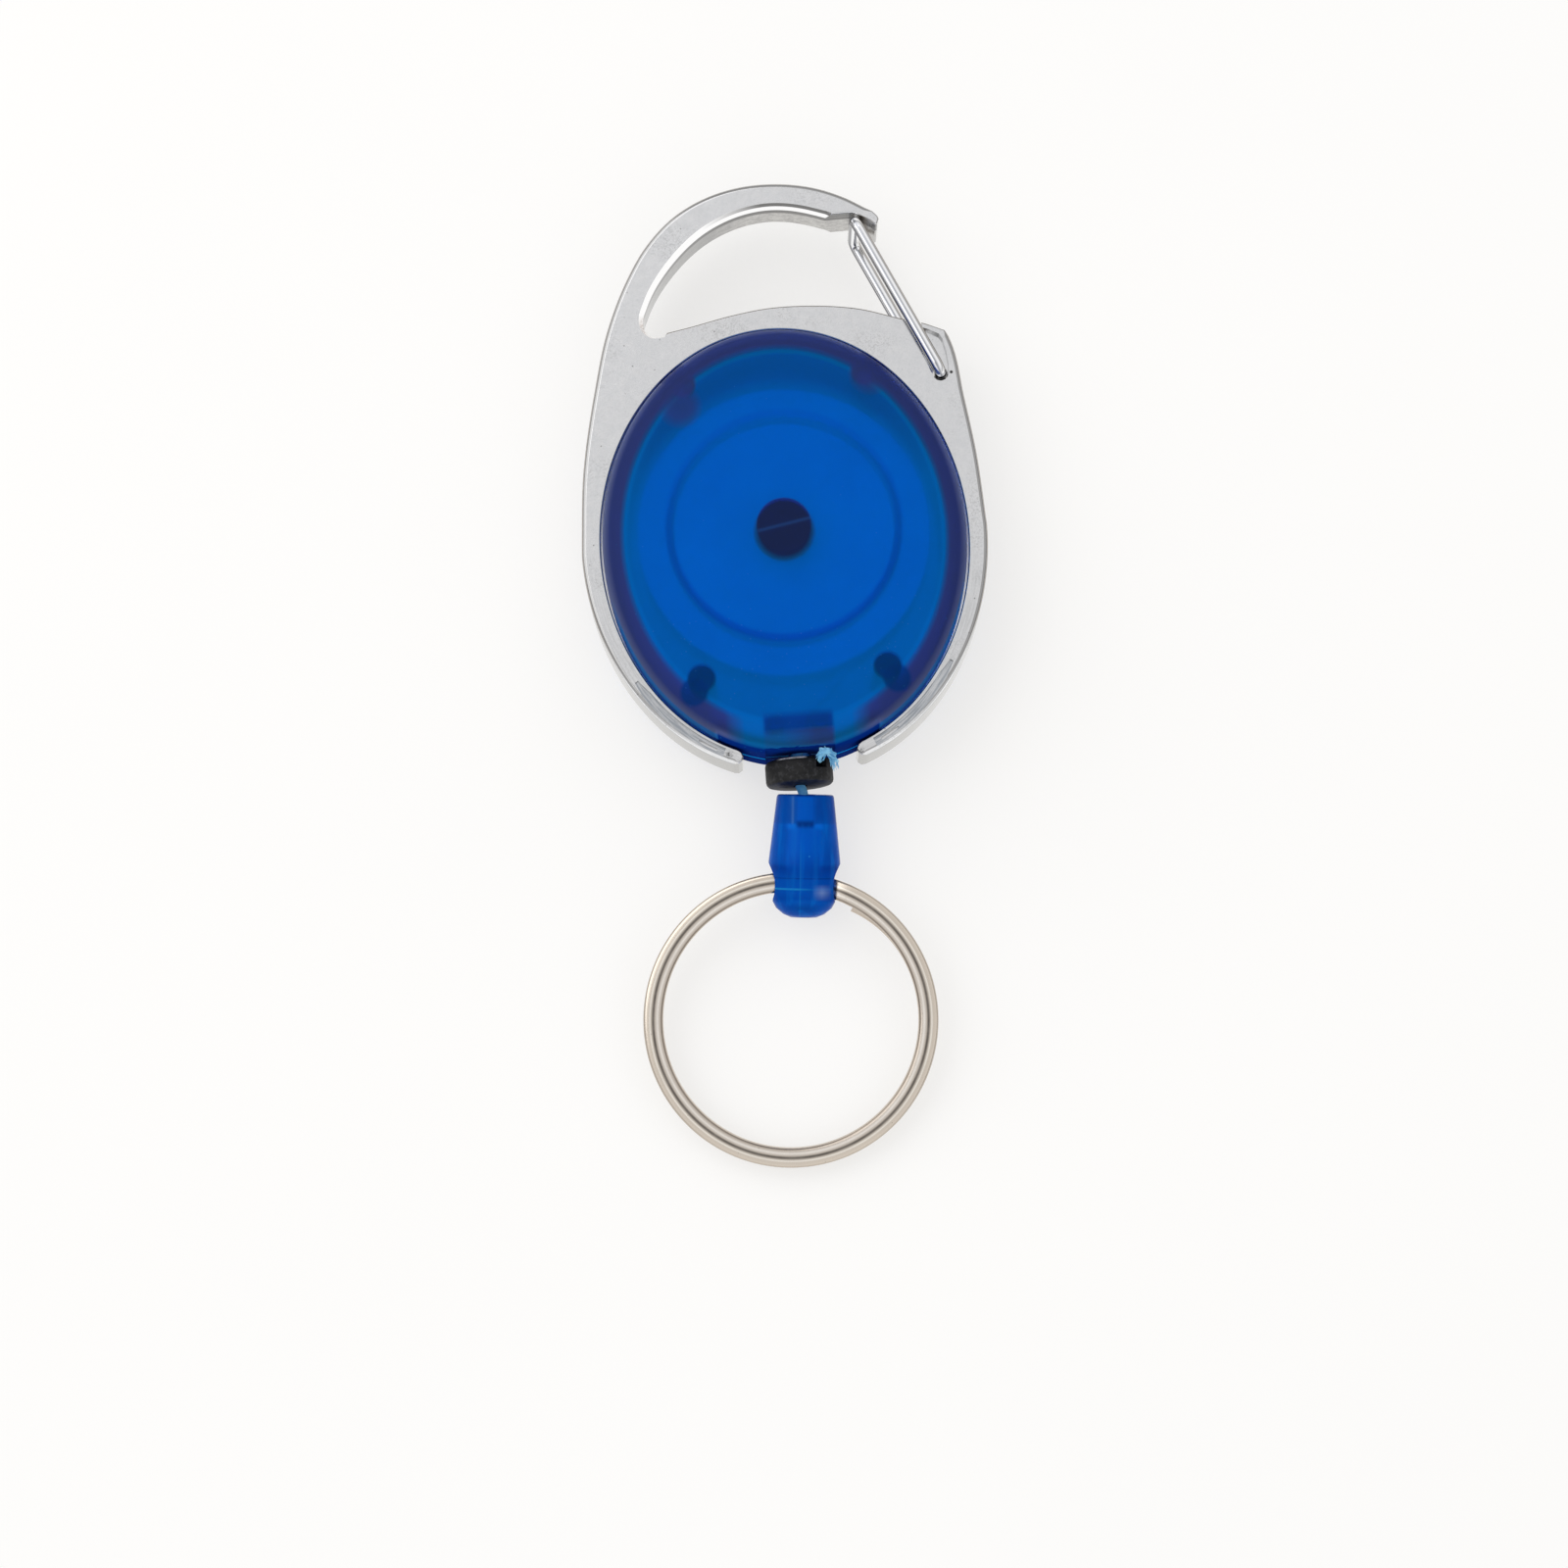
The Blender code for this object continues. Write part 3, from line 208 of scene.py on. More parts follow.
# Shares of the hook's height (Y, from the spool's axis) and of the frame's half width (X)
SIDE_SHARES = ((1.0, -0.02), (0.976, 0.19), (0.938, 0.35), (0.897, 0.505))
CORNER_SHARES = ((0.883, 0.5275), (0.866, 0.541))
SHOULDER_SHARES = (
    (0.763, 0.5655), (0.655, 0.583), (0.462, 0.618), (0.186, 0.6385),
    (-0.002, 0.6385), (-0.159, 0.627), (-0.410, 0.5975), (-0.520, 0.586),
)
EYE_END_SHARES = ((-0.582, 0.5865), (-0.615, 0.604), (-0.622, 0.632), (-0.598, 0.672))
ARCH_INNER_SHARES = (
    (-0.458, 0.792), (-0.268, 0.882), (-0.090, 0.922), (0.040, 0.931),
    (0.118, 0.928), (0.215, 0.9165), (0.263, 0.908), (0.320, 0.897),
)
BRIDGE_SHARES = ((0.350, 0.8975), (0.430, 0.8985), (0.466, 0.8965))
LIP_INNER_SHARES = ((0.493, 0.887), (0.540, 0.871))
LIP_TIP_SHARES = ((0.564, 0.858), (0.573, 0.859))
NOSE_SHARES = ((0.584, 0.8755), (0.578, 0.884), (0.554, 0.899))
ARCH_OUTER_SHARES = (
    (0.520, 0.913), (0.428, 0.9445), (0.276, 0.980), (0.090, 0.999), (-0.112, 0.9955),
    (-0.270, 0.9725), (-0.432, 0.9245), (-0.599, 0.831), (-0.686, 0.7525), (-0.804, 0.603),
    (-0.884, 0.436), (-0.966, 0.205), (-1.0, -0.02),
)
# The pocket of the gate's legs: its left wall going down, and its right wall going up
POCKET_LEFT_SHARES = ((0.672, 0.590), (0.6735, 0.5705), (0.7361, 0.5017), (0.782, 0.424))
POCKET_RIGHT_SHARES = ((0.872, 0.445), (0.866, 0.480), (0.853, 0.515), (0.836, 0.531), (0.790, 0.545),
                       (0.757, 0.552), (0.750, 0.590))
RIB_SHARE = 0.94
CURVE_STEPS = 8
EDGE_STEPS = 6
LEG_STEPS = 60
WINDOW_STEPS = 201

# Sizes and heights that follow from the ones above
WINDING_RADIUS = CUP_RADIUS + SEAT_GAP + CORE_DEPTH + SEAT_GAP + CORD_RADIUS
SPOOL_RADIUS = WINDING_RADIUS + CORD_RADIUS + SPOOL_LIP
CASE_HALF_WIDTH = SPOOL_RADIUS + SIDE_ROOM + CASE_WALL
CASE_HALF_LENGTH = SPOOL_RADIUS + END_ROOM + CASE_WALL
BOSS_RADIUS = PIN_RADIUS + SEAT_GAP + SOCKET_WALL
MID_HEIGHT = CASE_THICKNESS / 2
FRAME_BACK = MID_HEIGHT - FRAME_THICKNESS / 2
FRAME_FRONT = MID_HEIGHT + FRAME_THICKNESS / 2
FLOOR_TOP = CASE_WALL
CEILING = CASE_THICKNESS - CASE_WALL
CASE_TOP = CASE_HALF_LENGTH - CASE_DROP
CASE_BOTTOM = -CASE_HALF_LENGTH - CASE_DROP
FRAME_HALF_WIDTH = CASE_HALF_WIDTH + SEAT_GAP + LEG_WIDTH
HOOK_TOP = CASE_TOP + HOOK_RISE
SPOOL_BACK = FLOOR_TOP + COLLAR_HEIGHT + RUN_GAP
SPOOL_FRONT = CEILING - HEADROOM
GROOVE_BACK = SPOOL_BACK + SPOOL_FLANGE
GROOVE_FRONT = SPOOL_FRONT - SPOOL_FLANGE
SPOOL_BORE = POST_RADIUS + RUN_GAP
STRIP_SLOT = STRIP_THICKNESS + 2 * SEAT_GAP
WINDING_RISE = GROOVE_FRONT - GROOVE_BACK - 2 * (CORD_RADIUS + SEAT_GAP)
EXIT_RADIUS = CORD_RADIUS + EXIT_GAP
PIVOT = (PIVOT_SHARE[0] * FRAME_HALF_WIDTH, PIVOT_SHARE[1] * HOOK_TOP)
GATE_TOP = (GATE_TOP_SHARE[0] * FRAME_HALF_WIDTH, GATE_TOP_SHARE[1] * HOOK_TOP)
NOTCH_FLOOR = CASE_BOTTOM + NOTCH_DEPTH
STOPPER_BACK = NOTCH_FLOOR - STOPPER_GAP
STOPPER_FACE = STOPPER_BACK - STOPPER_LENGTH
FITTING_TOP = STOPPER_FACE - FITTING_GAP
FITTING_BORE = CORD_RADIUS + BORE_GAP
CAVITY_RADIUS = KNOT_RADIUS + CAVITY_GAP
CAVITY_TOP = CAVITY_SHARE * FITTING_LENGTH
SLOT_CENTRE = SLOT_SHARE * FITTING_LENGTH
RING_HEIGHT = 2 * RING_STRAND + RING_STRAND_GAP
SLOT_HALF_LENGTH = RING_BAND / 2 + SLOT_GAP_LENGTH
SLOT_HALF_DEPTH = RING_HEIGHT / 2 + SLOT_GAP_DEPTH


# Objects

SMOOTH_ANGLE = radians(35.0)     # steeper edges stay sharp


def add_object(name, data, mat=None, parent=None):
    ob = bpy.data.objects.new(name, data)
    bpy.context.scene.collection.objects.link(ob)
    if mat:
        data.materials.append(mat)
    ob.parent = parent
    return ob


def add_empty(name, location, rotation=(0, 0, 0)):
    ob = add_object(name, None)
    ob.location = location
    ob.rotation_euler = rotation
    return ob


def mesh_from(bm, name):
    bmesh.ops.recalc_face_normals(bm, faces=bm.faces)
    mesh = bpy.data.meshes.new(name)
    bm.to_mesh(mesh)
    bm.free()
    mesh.shade_smooth()
    mesh.set_sharp_from_angle(angle=SMOOTH_ANGLE)
    return mesh


def boolean(ob, cutter, operation):
    mod = ob.modifiers.new(cutter.name, "BOOLEAN")
    mod.operation = operation
    mod.solver = "EXACT"
    mod.object = cutter
    cutter.hide_render = True


def cut(ob, *cutters):
    for cutter in cutters:
        boolean(ob, cutter, "DIFFERENCE")


def join(ob, *additions):
    for addition in additions:
        boolean(ob, addition, "UNION")


def settle(ob, smooth_angle=SMOOTH_ANGLE):
    """Applies the modifiers and the placing, so that the piece's mesh is final."""
    helpers = [m.object for m in ob.modifiers if m.type == "BOOLEAN"]
    bpy.context.view_layer.update()
    seen = ob.evaluated_get(bpy.context.evaluated_depsgraph_get())
    mesh = bpy.data.meshes.new_from_object(seen)
    mesh.transform(ob.matrix_world)
    name, mats = ob.name, list(ob.data.materials)
    for used in (ob, *helpers):
        bpy.data.objects.remove(used)
    mesh.materials.clear()
    for mat in mats:
        mesh.materials.append(mat)
    mesh.shade_smooth()
    mesh.set_sharp_from_angle(angle=smooth_angle)
    done = add_object(name, mesh)
    done.modifiers.new("even_normals", "WEIGHTED_NORMAL").keep_sharp = True
    return done


def piece(ob, body, slot, *nodes, smooth_angle=SMOOTH_ANGLE):
    """Finishes a piece, lets it stand for its CAD nodes and rides it on its body."""
    done = settle(ob, smooth_angle)
    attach(done, body)
    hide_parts(*nodes)
    return done


# Forms

def quarter_turn(steps):
    return [(pi / 2) * k / steps for k in range(steps + 1)]


def whole_turn(steps):
    return [2 * pi * k / steps for k in range(steps)]


def loft(name, rings, mat=None, parent=None):
    """Closed rings of equal count, joined in order and capped at both ends."""
    bm = bmesh.new()
    rows = [[bm.verts.new(p) for p in ring] for ring in rings]
    count = len(rows[0])
    for low, high in zip(rows, rows[1:]):
        for i in range(count):
            j = (i + 1) % count
            bm.faces.new((low[i], low[j], high[j], high[i]))
    bm.faces.new(rows[0][::-1])
    bm.faces.new(rows[-1])
    return add_object(name, mesh_from(bm, name), mat, parent)


def turned(name, profile, steps, mat=None, parent=None):
    """A closed outline of (radius, height) points spun about Z; radius 0 makes a pole."""
    bm = bmesh.new()
    rows = []
    for radius, height in profile:
        if radius == 0:
            rows.append([bm.verts.new((0, 0, height))])
        else:
            rows.append([bm.verts.new((radius * cos(a), radius * sin(a), height))
                         for a in whole_turn(steps)])
    for low, high in zip(rows, rows[1:] + rows[:1]):
        for i in range(steps):
            j = (i + 1) % steps
            corners = (low[i % len(low)], low[j % len(low)], high[j % len(high)], high[i % len(high)])
            corners = list(dict.fromkeys(corners))
            if corners[2:]:
                bm.faces.new(corners)
    return add_object(name, mesh_from(bm, name), mat, parent)


def rod(name, radius, low, high, steps):
    return turned(name, [(0, low), (radius, low), (radius, high), (0, high)], steps)


def washer(name, inner, outer, low, high, mat):
    return turned(name, [(inner, low), (outer, low), (outer, high), (inner, high)], SPOOL_STEPS, mat)


def block(name, low, high):
    bm = bmesh.new()
    bmesh.ops.create_cube(bm, size=1.0)
    low, high = Vector(low), Vector(high)
    bmesh.ops.scale(bm, vec=high - low, verts=bm.verts)
    bmesh.ops.translate(bm, vec=(high + low) / 2, verts=bm.verts)
    return add_object(name, mesh_from(bm, name))


def new_curve(name, radius, resolution):
    curve = bpy.data.curves.new(name, "CURVE")
    curve.dimensions = "3D"
    curve.bevel_depth = radius
    curve.bevel_resolution = resolution
    curve.use_fill_caps = True
    return curve


def add_line(curve, points, swell):
    spline = curve.splines.new("POLY")
    spline.points.add(len(points) - 1)
    for point, place, scale in zip(spline.points, points, swell):
        point.co = (*place, 1.0)
        point.radius = scale


def tube(name, points, radius, mat, parent=None, swell=None):
    curve = new_curve(name, radius, TUBE_RESOLUTION)
    add_line(curve, points, swell or [1.0] * len(points))
    return add_object(name, curve, mat, parent)


def smooth_through(points, steps):
    """Points on a smooth curve through the given ones, ends included, however they are spaced."""
    pts = [Vector(p) for p in points]
    spans = [(b - a).length for a, b in zip(pts, pts[1:])]
    slopes = [(b - a) / d for a, b, d in zip(pts, pts[1:], spans)]
    tangents = [slopes[0]]
    for before, after, d, e in zip(slopes, slopes[1:], spans, spans[1:]):
        tangents.append((before * e + after * d) / (d + e))
    tangents.append(slopes[-1])
    out = []
    for a, b, d, m, n in zip(pts, pts[1:], spans, tangents, tangents[1:]):
        for k in range(steps):
            t = k / steps
            rise = t * t * (3 - 2 * t)
            out.append(a * (1 - rise) + b * rise + m * d * t * (1 - t) ** 2 - n * d * t * t * (1 - t))
    return out + [pts[-1]]


def stretch(a, b, count):
    """Points from a towards b, b left out."""
    return [a + (b - a) * k / count for k in range(count)]


def oval_point(angle, grow):
    """A point of the case's outline, moved out by grow, at an angle from its centre."""
    return Vector(((CASE_HALF_WIDTH + grow) * cos(angle),
                   (CASE_HALF_LENGTH + grow) * sin(angle) - CASE_DROP))


def oval_ring(grow, height):
    return [(*oval_point(angle, grow), height) for angle in whole_turn(OVAL_STEPS)]


# Case shells

def shell_rings(front):
    """The outer skin from its flat face to the parting line, then the inner skin back."""
    part = MID_HEIGHT + SEAT_GAP / 2
    turns = quarter_turn(DOME_STEPS)
    rings = [(-DOME_INSET * (1 - cos(a)), CASE_THICKNESS - DOME_RISE * (1 - sin(a))) for a in turns[::-1]]
    rings += [(0, part + LIP_WIDTH), (-LIP_WIDTH, part), (-CASE_WALL, part)]
    rings += [(-CASE_WALL - DOME_INSET * (1 - cos(a)), CEILING - DOME_RISE * (1 - sin(a)))
              for a in turns[::2]]
    return [oval_ring(grow, z if front else CASE_THICKNESS - z) for grow, z in rings]


def pin_places():
    corners = [oval_point(angle, -BOSS_RADIUS - room)
               for angle, room in zip(PIN_ANGLES, (PIN_ROOM_TOP, PIN_ROOM_BOTTOM))]
    return [(side * p.x, p.y) for side in (-1, 1) for p in corners]


def boss_foot():
    """A height inside the rear shell's wall, clear of its outer skin under the upper bosses."""
    share = 1 - PIN_ROOM_TOP / DOME_INSET
    skin = DOME_RISE * (1 - sqrt(1 - share ** 2))
    return (skin + FLOOR_TOP) / 2


def retaining_band(name, clearance):
    """The rib inside the frame's window, or, with clearance, the groove that takes it."""
    half = RIB_HEIGHT / 2 + clearance
    tip = prong_angle() * RIB_SHARE
    angles = [tip + (pi - 2 * tip) * k / WINDOW_STEPS for k in range(WINDOW_STEPS + 1)]
    margin = clearance / CASE_HALF_LENGTH
    angles = [angles[0] - margin] + angles[1:-1] + [angles[-1] + margin]
    inner = [oval_point(a, SEAT_GAP - RIB_DEPTH - clearance) for a in angles]
    outer = [oval_point(a, SEAT_GAP + (CUT_OVERRUN if clearance else BOND_DEPTH)) for a in angles]
    outline = inner + outer[::-1]
    return loft(name, [[(*p, MID_HEIGHT + side * half) for p in outline] for side in (-1, 1)])


def exit_cutters(prefix):
    """The notch that the stopper nests in, and the cord's hole with a rounded mouth."""
    notch = block(prefix + "_notch", (-NOTCH_HALF_WIDTH, CASE_BOTTOM - CUT_OVERRUN, -CUT_OVERRUN),
                  (NOTCH_HALF_WIDTH, NOTCH_FLOOR, CASE_THICKNESS + CUT_OVERRUN))
    wall = CASE_WALL - NOTCH_DEPTH
    flare = wall / 3
    wide = EXIT_RADIUS + flare + CUT_OVERRUN
    profile = [(0, -CUT_OVERRUN), (wide, -CUT_OVERRUN), (EXIT_RADIUS, flare), (EXIT_RADIUS, wall - flare),
               (wide, wall + CUT_OVERRUN), (0, wall + CUT_OVERRUN)]
    hole = turned(prefix + "_cord_hole", profile, PIN_STEPS)
    hole.location = (0, NOTCH_FLOOR, MID_HEIGHT)
    hole.rotation_euler = (-pi / 2, pi / PIN_STEPS, 0)
    return notch, hole


def make_front_shell(mat):
    ob = loft("front_shell", shell_rings(True), mat)
    bore_top = CASE_THICKNESS * PIN_HEIGHT_SHARE + SEAT_GAP
    for n, (x, y) in enumerate(pin_places()):
        socket = rod(f"socket_{n}", BOSS_RADIUS, MID_HEIGHT + RUN_GAP, CASE_THICKNESS - boss_foot(),
                     PIN_STEPS)
        bore = rod(f"socket_bore_{n}", PIN_RADIUS + SEAT_GAP, MID_HEIGHT - CUT_OVERRUN, bore_top,
                   PIN_STEPS)
        socket.location = bore.location = (x, y, 0)
        bore.rotation_euler = (0, 0, pi / PIN_STEPS)
        join(ob, socket)
        cut(ob, bore)
    cut(ob, *exit_cutters("front"), retaining_band("front_groove", SEAT_GAP))
    return ob


def make_rear_shell(mat):
    ob = loft("rear_shell", shell_rings(False), mat)
    collar_top = FLOOR_TOP + COLLAR_HEIGHT
    foot = FLOOR_TOP - BOND_DEPTH
    post_top = CEILING - SEAT_GAP
    collar_radius = SPOOL_BORE + COLLAR_WIDTH
    post = turned("hub_post", [(0, foot), (collar_radius, foot), (collar_radius, collar_top),
                               (POST_RADIUS, collar_top), (POST_RADIUS, post_top), (0, post_top)],
                  POST_STEPS)
    join(ob, post)
    low, shoulder, high = boss_foot(), MID_HEIGHT - SEAT_GAP, CASE_THICKNESS * PIN_HEIGHT_SHARE
    for n, (x, y) in enumerate(pin_places()):
        pin = turned(f"pin_{n}", [(0, low), (BOSS_RADIUS, low), (BOSS_RADIUS, shoulder),
                                  (PIN_RADIUS, shoulder), (PIN_RADIUS, high), (0, high)], PIN_STEPS)
        pin.location = (x, y, 0)
        join(ob, pin)
    for n, side in enumerate((-1, 1)):
        guide = rod(f"cord_guide_{n}", GUIDE_RADIUS, foot, FLOOR_TOP + GUIDE_HEIGHT, PIN_STEPS)
        guide.location = (side * GUIDE_SPACING / 2, NOTCH_FLOOR + GUIDE_SETBACK, 0)
        join(ob, guide)
    slot = block("spring_slot", (-POST_RADIUS - CUT_OVERRUN, -STRIP_SLOT / 2, SPOOL_BACK),
                 (POST_RADIUS + CUT_OVERRUN, STRIP_SLOT / 2, CASE_THICKNESS))
    slot.rotation_euler = (0, 0, POST_SLOT_YAW)
    cut(ob, slot, *exit_cutters("rear"), retaining_band("rear_groove", SEAT_GAP))
    return ob


# Spool, spring and wound cord

def make_spool(mat):
    low, high = SPOOL_BACK, SPOOL_FRONT
    inner = CUP_RADIUS - CUP_WALL
    ledge = inner - COVER_LEDGE
    crown_in = CUP_RADIUS - SEAT_GAP
    crown_out = crown_in + CROWN_WIDTH
    cover_top = low + COVER_THICKNESS + 2 * SEAT_GAP
    profile = [
        (SPOOL_BORE, high - WEB_THICKNESS), (inner - COVER_LEDGE / 2, high - WEB_THICKNESS),
        (ledge + COVER_LEDGE / 2, cover_top), (inner, cover_top - SEAT_GAP), (inner, low),
        (SPOOL_RADIUS - SMALL_BREAK, low), (SPOOL_RADIUS, low + SMALL_BREAK),
        (SPOOL_RADIUS, GROOVE_BACK), (CUP_RADIUS, GROOVE_BACK), (CUP_RADIUS, GROOVE_FRONT),
        (SPOOL_RADIUS, GROOVE_FRONT), (SPOOL_RADIUS, high - SMALL_BREAK),
        (SPOOL_RADIUS - SMALL_BREAK, high), (crown_out, high),
        (crown_out - SMALL_BREAK, high + CROWN_RISE), (crown_in + SMALL_BREAK, high + CROWN_RISE),
        (crown_in, high), (SPOOL_BORE, high),
    ]
    ob = turned("spool", profile, SPOOL_STEPS, mat)
    anchor = block("spring_anchor_slot", (inner - CUT_OVERRUN, -STRIP_SLOT / 2, cover_top),
                   (inner + ANCHOR_DEPTH, STRIP_SLOT / 2, high - WEB_THICKNESS - SEAT_GAP))
    cut(ob, anchor)
    return ob


def make_spring_cover(mat):
    outer = CUP_RADIUS - CUP_WALL - SEAT_GAP
    bore = SPOOL_BORE + COLLAR_WIDTH + RUN_GAP
    return washer("spring_cover", bore, outer, SPOOL_BACK, SPOOL_BACK + COVER_THICKNESS, mat)


def spring_path():
    """From the slot in the post, out of it, round the cup and into the anchor slot."""
    start = POST_RADIUS + RUN_GAP + STRIP_THICKNESS
    end = CUP_RADIUS - CUP_WALL - RUN_GAP - STRIP_THICKNESS
    count = SPRING_TURNS * SPRING_STEPS
    total = 2 * pi * SPRING_TURNS + POST_SLOT_YAW
    points = [Vector((r * cos(POST_SLOT_YAW), r * sin(POST_SLOT_YAW))) for r in (POST_RADIUS / 2, start)]
    for k in range(2, count):
        share = k / count
        angle = POST_SLOT_YAW - total * share
        radius = start + (end - start) * share
        points.append(Vector((radius * cos(angle), radius * sin(angle))))
    hook = CUP_RADIUS - CUP_WALL + ANCHOR_DEPTH / 2
    return points + [Vector((end + STRIP_THICKNESS, 0)), Vector((hook, 0))]


def make_power_spring(mat):
    low = SPOOL_BACK + COVER_THICKNESS + RUN_GAP + SEAT_GAP
    high = SPOOL_FRONT - WEB_THICKNESS - RUN_GAP
    path = spring_path()
    rings = []
    for before, p, after in zip(path[:1] + path, path, path[1:] + path[-1:]):
        along = (after - before).normalized()
        side = Vector((-along.y, along.x)) * STRIP_THICKNESS / 2
        rings.append([(*(p + side), low), (*(p - side), low), (*(p - side), high), (*(p + side), high)])
    return loft("power_spring", rings, mat)


def make_cord_core(mat):
    inner, outer = CUP_RADIUS + SEAT_GAP, WINDING_RADIUS - CORD_RADIUS - SEAT_GAP
    return washer("cord_core", inner, outer, GROOVE_BACK + SEAT_GAP, GROOVE_FRONT - SEAT_GAP, mat)


def guide_bend():
    """Where the cord bends round the right guide post."""
    reach = GUIDE_RADIUS + CORD_RADIUS + RUN_GAP
    post = Vector((GUIDE_SPACING / 2, NOTCH_FLOOR + GUIDE_SETBACK))
    return [post + Vector((cos(a), sin(a))) * reach for a in BEND_ANGLES]


def leaving_angle():
    """Where the cord leaves the drum on its way to the guide post."""
    aim = guide_bend()[0]
    return atan2(aim.y, aim.x) + acos(WINDING_RADIUS / aim.length)


def winding_points():
    pitch = WINDING_RISE / WINDING_TURNS
    last = leaving_angle()
    count = round(WINDING_TURNS * LOOP_POINTS)
    start = GROOVE_BACK + SEAT_GAP + CORD_RADIUS
    points = []
    for k in range(count + 1):
        angle = last + 2 * pi * (count - k) / LOOP_POINTS
        height = start + pitch * k / LOOP_POINTS
        points.append(Vector((WINDING_RADIUS * cos(angle), WINDING_RADIUS * sin(angle), height)))
    return points


def least_gap(points, radius, apart):
    """The least clear distance between stretches that lie more than apart points away."""
    gaps = [(p - q).length for i, p in enumerate(points) for q in points[i + apart:]]
    return min(gaps) - 2 * radius


def run_start():
    """The end of the outer layer, and the cord's direction there."""
    angle = leaving_angle()
    return winding_points()[-1], Vector((sin(angle), -cos(angle), 0))


def make_winding(mat):
    points = winding_points()
    tip, along = run_start()
    points.append(tip + along * 2 * CORD_RADIUS)
    print("cord winding, least gap to itself:", least_gap(points, CORD_RADIUS, LOOP_POINTS // 2))
    return tube("cord_winding", points, CORD_RADIUS, mat)


def make_cord_run(mat):
    """From the drum past the guide post, through the exit and up to the stopper."""
    tip, along = run_start()
    start = tip + along * (2 * CORD_RADIUS + RUN_GAP)
    bend = [Vector((*p, MID_HEIGHT)) for p in guide_bend()]
    inside = Vector((0, NOTCH_FLOOR + CASE_WALL, MID_HEIGHT))
    end = Vector((-STOPPER_SIDE, STOPPER_BACK + RUN_GAP, MID_HEIGHT))
    points = stretch(start, bend[0], RUN_STEPS) + bend
    points += [inside, inside * 0.5 + end * 0.5, end + Vector((0, CORD_RADIUS, 0)), end]
    return tube("cord_run", points, CORD_RADIUS, mat)


# Carabiner frame

def prong_angle():
    """The angle on the oval, from its centre, of the right prong's tip; it is negative."""
    return -acos(PRONG_GAP / 2 / CASE_HALF_WIDTH)


def share_points(shares):
    return [Vector((x * FRAME_HALF_WIDTH, y * HOOK_TOP)) for x, y in shares]


def leg_width(share):
    return LEG_WIDTH + (LEG_TIP_WIDTH - LEG_WIDTH) * share


def leg_outer(side):
    """The outer edge of a leg from its widest place to its tip."""
    tip = prong_angle()
    points = []
    for k in range(LEG_STEPS + 1):
        share = k / LEG_STEPS
        point = oval_point(tip * share, SEAT_GAP + leg_width(share))
        points.append(Vector((side * point.x, point.y)))
    return points


def tip_round(outer, inner):
    """A half-round end between a leg's outer and inner corner."""
    middle = (outer + inner) / 2
    arm = outer - middle
    across = Vector((-arm.y, arm.x))
    if across.x * middle.x > 0:
        across = -across
    return [middle + arm * cos(a) + across * sin(a) for a in (pi / 5, 2 * pi / 5, 3 * pi / 5, 4 * pi / 5)]


def frame_outline():
    """The outline counter-clockwise, each point with its edge break: width, depth, flat or round."""
    fillet = (FRAME_FILLET, FRAME_FILLET, False)
    chamfer = (ARCH_CHAMFER_WIDTH, ARCH_CHAMFER_DEPTH, True)
    small = (SMALL_BREAK, SMALL_BREAK, False)
    right, left = leg_outer(1), leg_outer(-1)
    tip = prong_angle()
    window = [oval_point(pi - tip - (pi - 2 * tip) * k / WINDOW_STEPS, SEAT_GAP)
              for k in range(WINDOW_STEPS + 1)]
    side = smooth_through(share_points(SIDE_SHARES + CORNER_SHARES[:1]), CURVE_STEPS)
    shoulder = smooth_through(share_points(CORNER_SHARES[1:] + SHOULDER_SHARES), CURVE_STEPS)
    eye = smooth_through(share_points(SHOULDER_SHARES[-1:] + EYE_END_SHARES + ARCH_INNER_SHARES),
                         CURVE_STEPS)
    lip = share_points(BRIDGE_SHARES + LIP_INNER_SHARES + LIP_TIP_SHARES + NOSE_SHARES)
    outer = smooth_through(share_points(ARCH_OUTER_SHARES), CURVE_STEPS)
    parts = [
        (right[::-1][:-1], fillet), (side, fillet), (shoulder[:-1], small),
        (eye, chamfer), (lip, small), (outer[:-1], fillet), (left, fillet),
        (tip_round(left[-1], window[0]), small), (window, small),
        (tip_round(window[-1], right[-1]), small),
    ]
    return [(point, edge) for points, edge in parts for point in points]


def inset(outline, widths):
    """The outline moved inwards by each point's own width."""
    out = []
    count = len(outline)
    for i, p in enumerate(outline):
        before = (p - outline[i - 1]).normalized()
        after = (outline[(i + 1) % count] - p).normalized()
        n1 = Vector((-before.y, before.x))
        n2 = Vector((-after.y, after.x))
        out.append(p + (n1 + n2) / max(1 + n1.dot(n2), 0.5) * widths[i])
    return out


def edge_break(edge, turn):
    """How far the edge has come inwards, and how far it still is below the face, at a turn."""
    width, depth, flat = edge
    if flat:
        share = turn / (pi / 2)
        return width * share, depth * (1 - share)
    return width * (1 - cos(turn)), depth * (1 - sin(turn))


def frame_plate(mat):
    data = frame_outline()
    outline = [p for p, edge in data]
    quarter = quarter_turn(EDGE_STEPS)
    rings = []
    for side, order in ((-1, quarter[::-1]), (1, quarter)):
        for turn in order:
            breaks = [edge_break(edge, turn) for p, edge in data]
            moved = inset(outline, [width for width, depth in breaks])
            rings.append([(p.x, p.y, MID_HEIGHT + side * (FRAME_THICKNESS / 2 - depth))
                          for p, (width, depth) in zip(moved, breaks)])
    return loft("carabiner_frame", rings, mat)


def gate_line():
    """The gate's direction from its pivot to its top, and its length."""
    span = Vector(GATE_TOP) - Vector(PIVOT)
    return span.normalized(), span.length


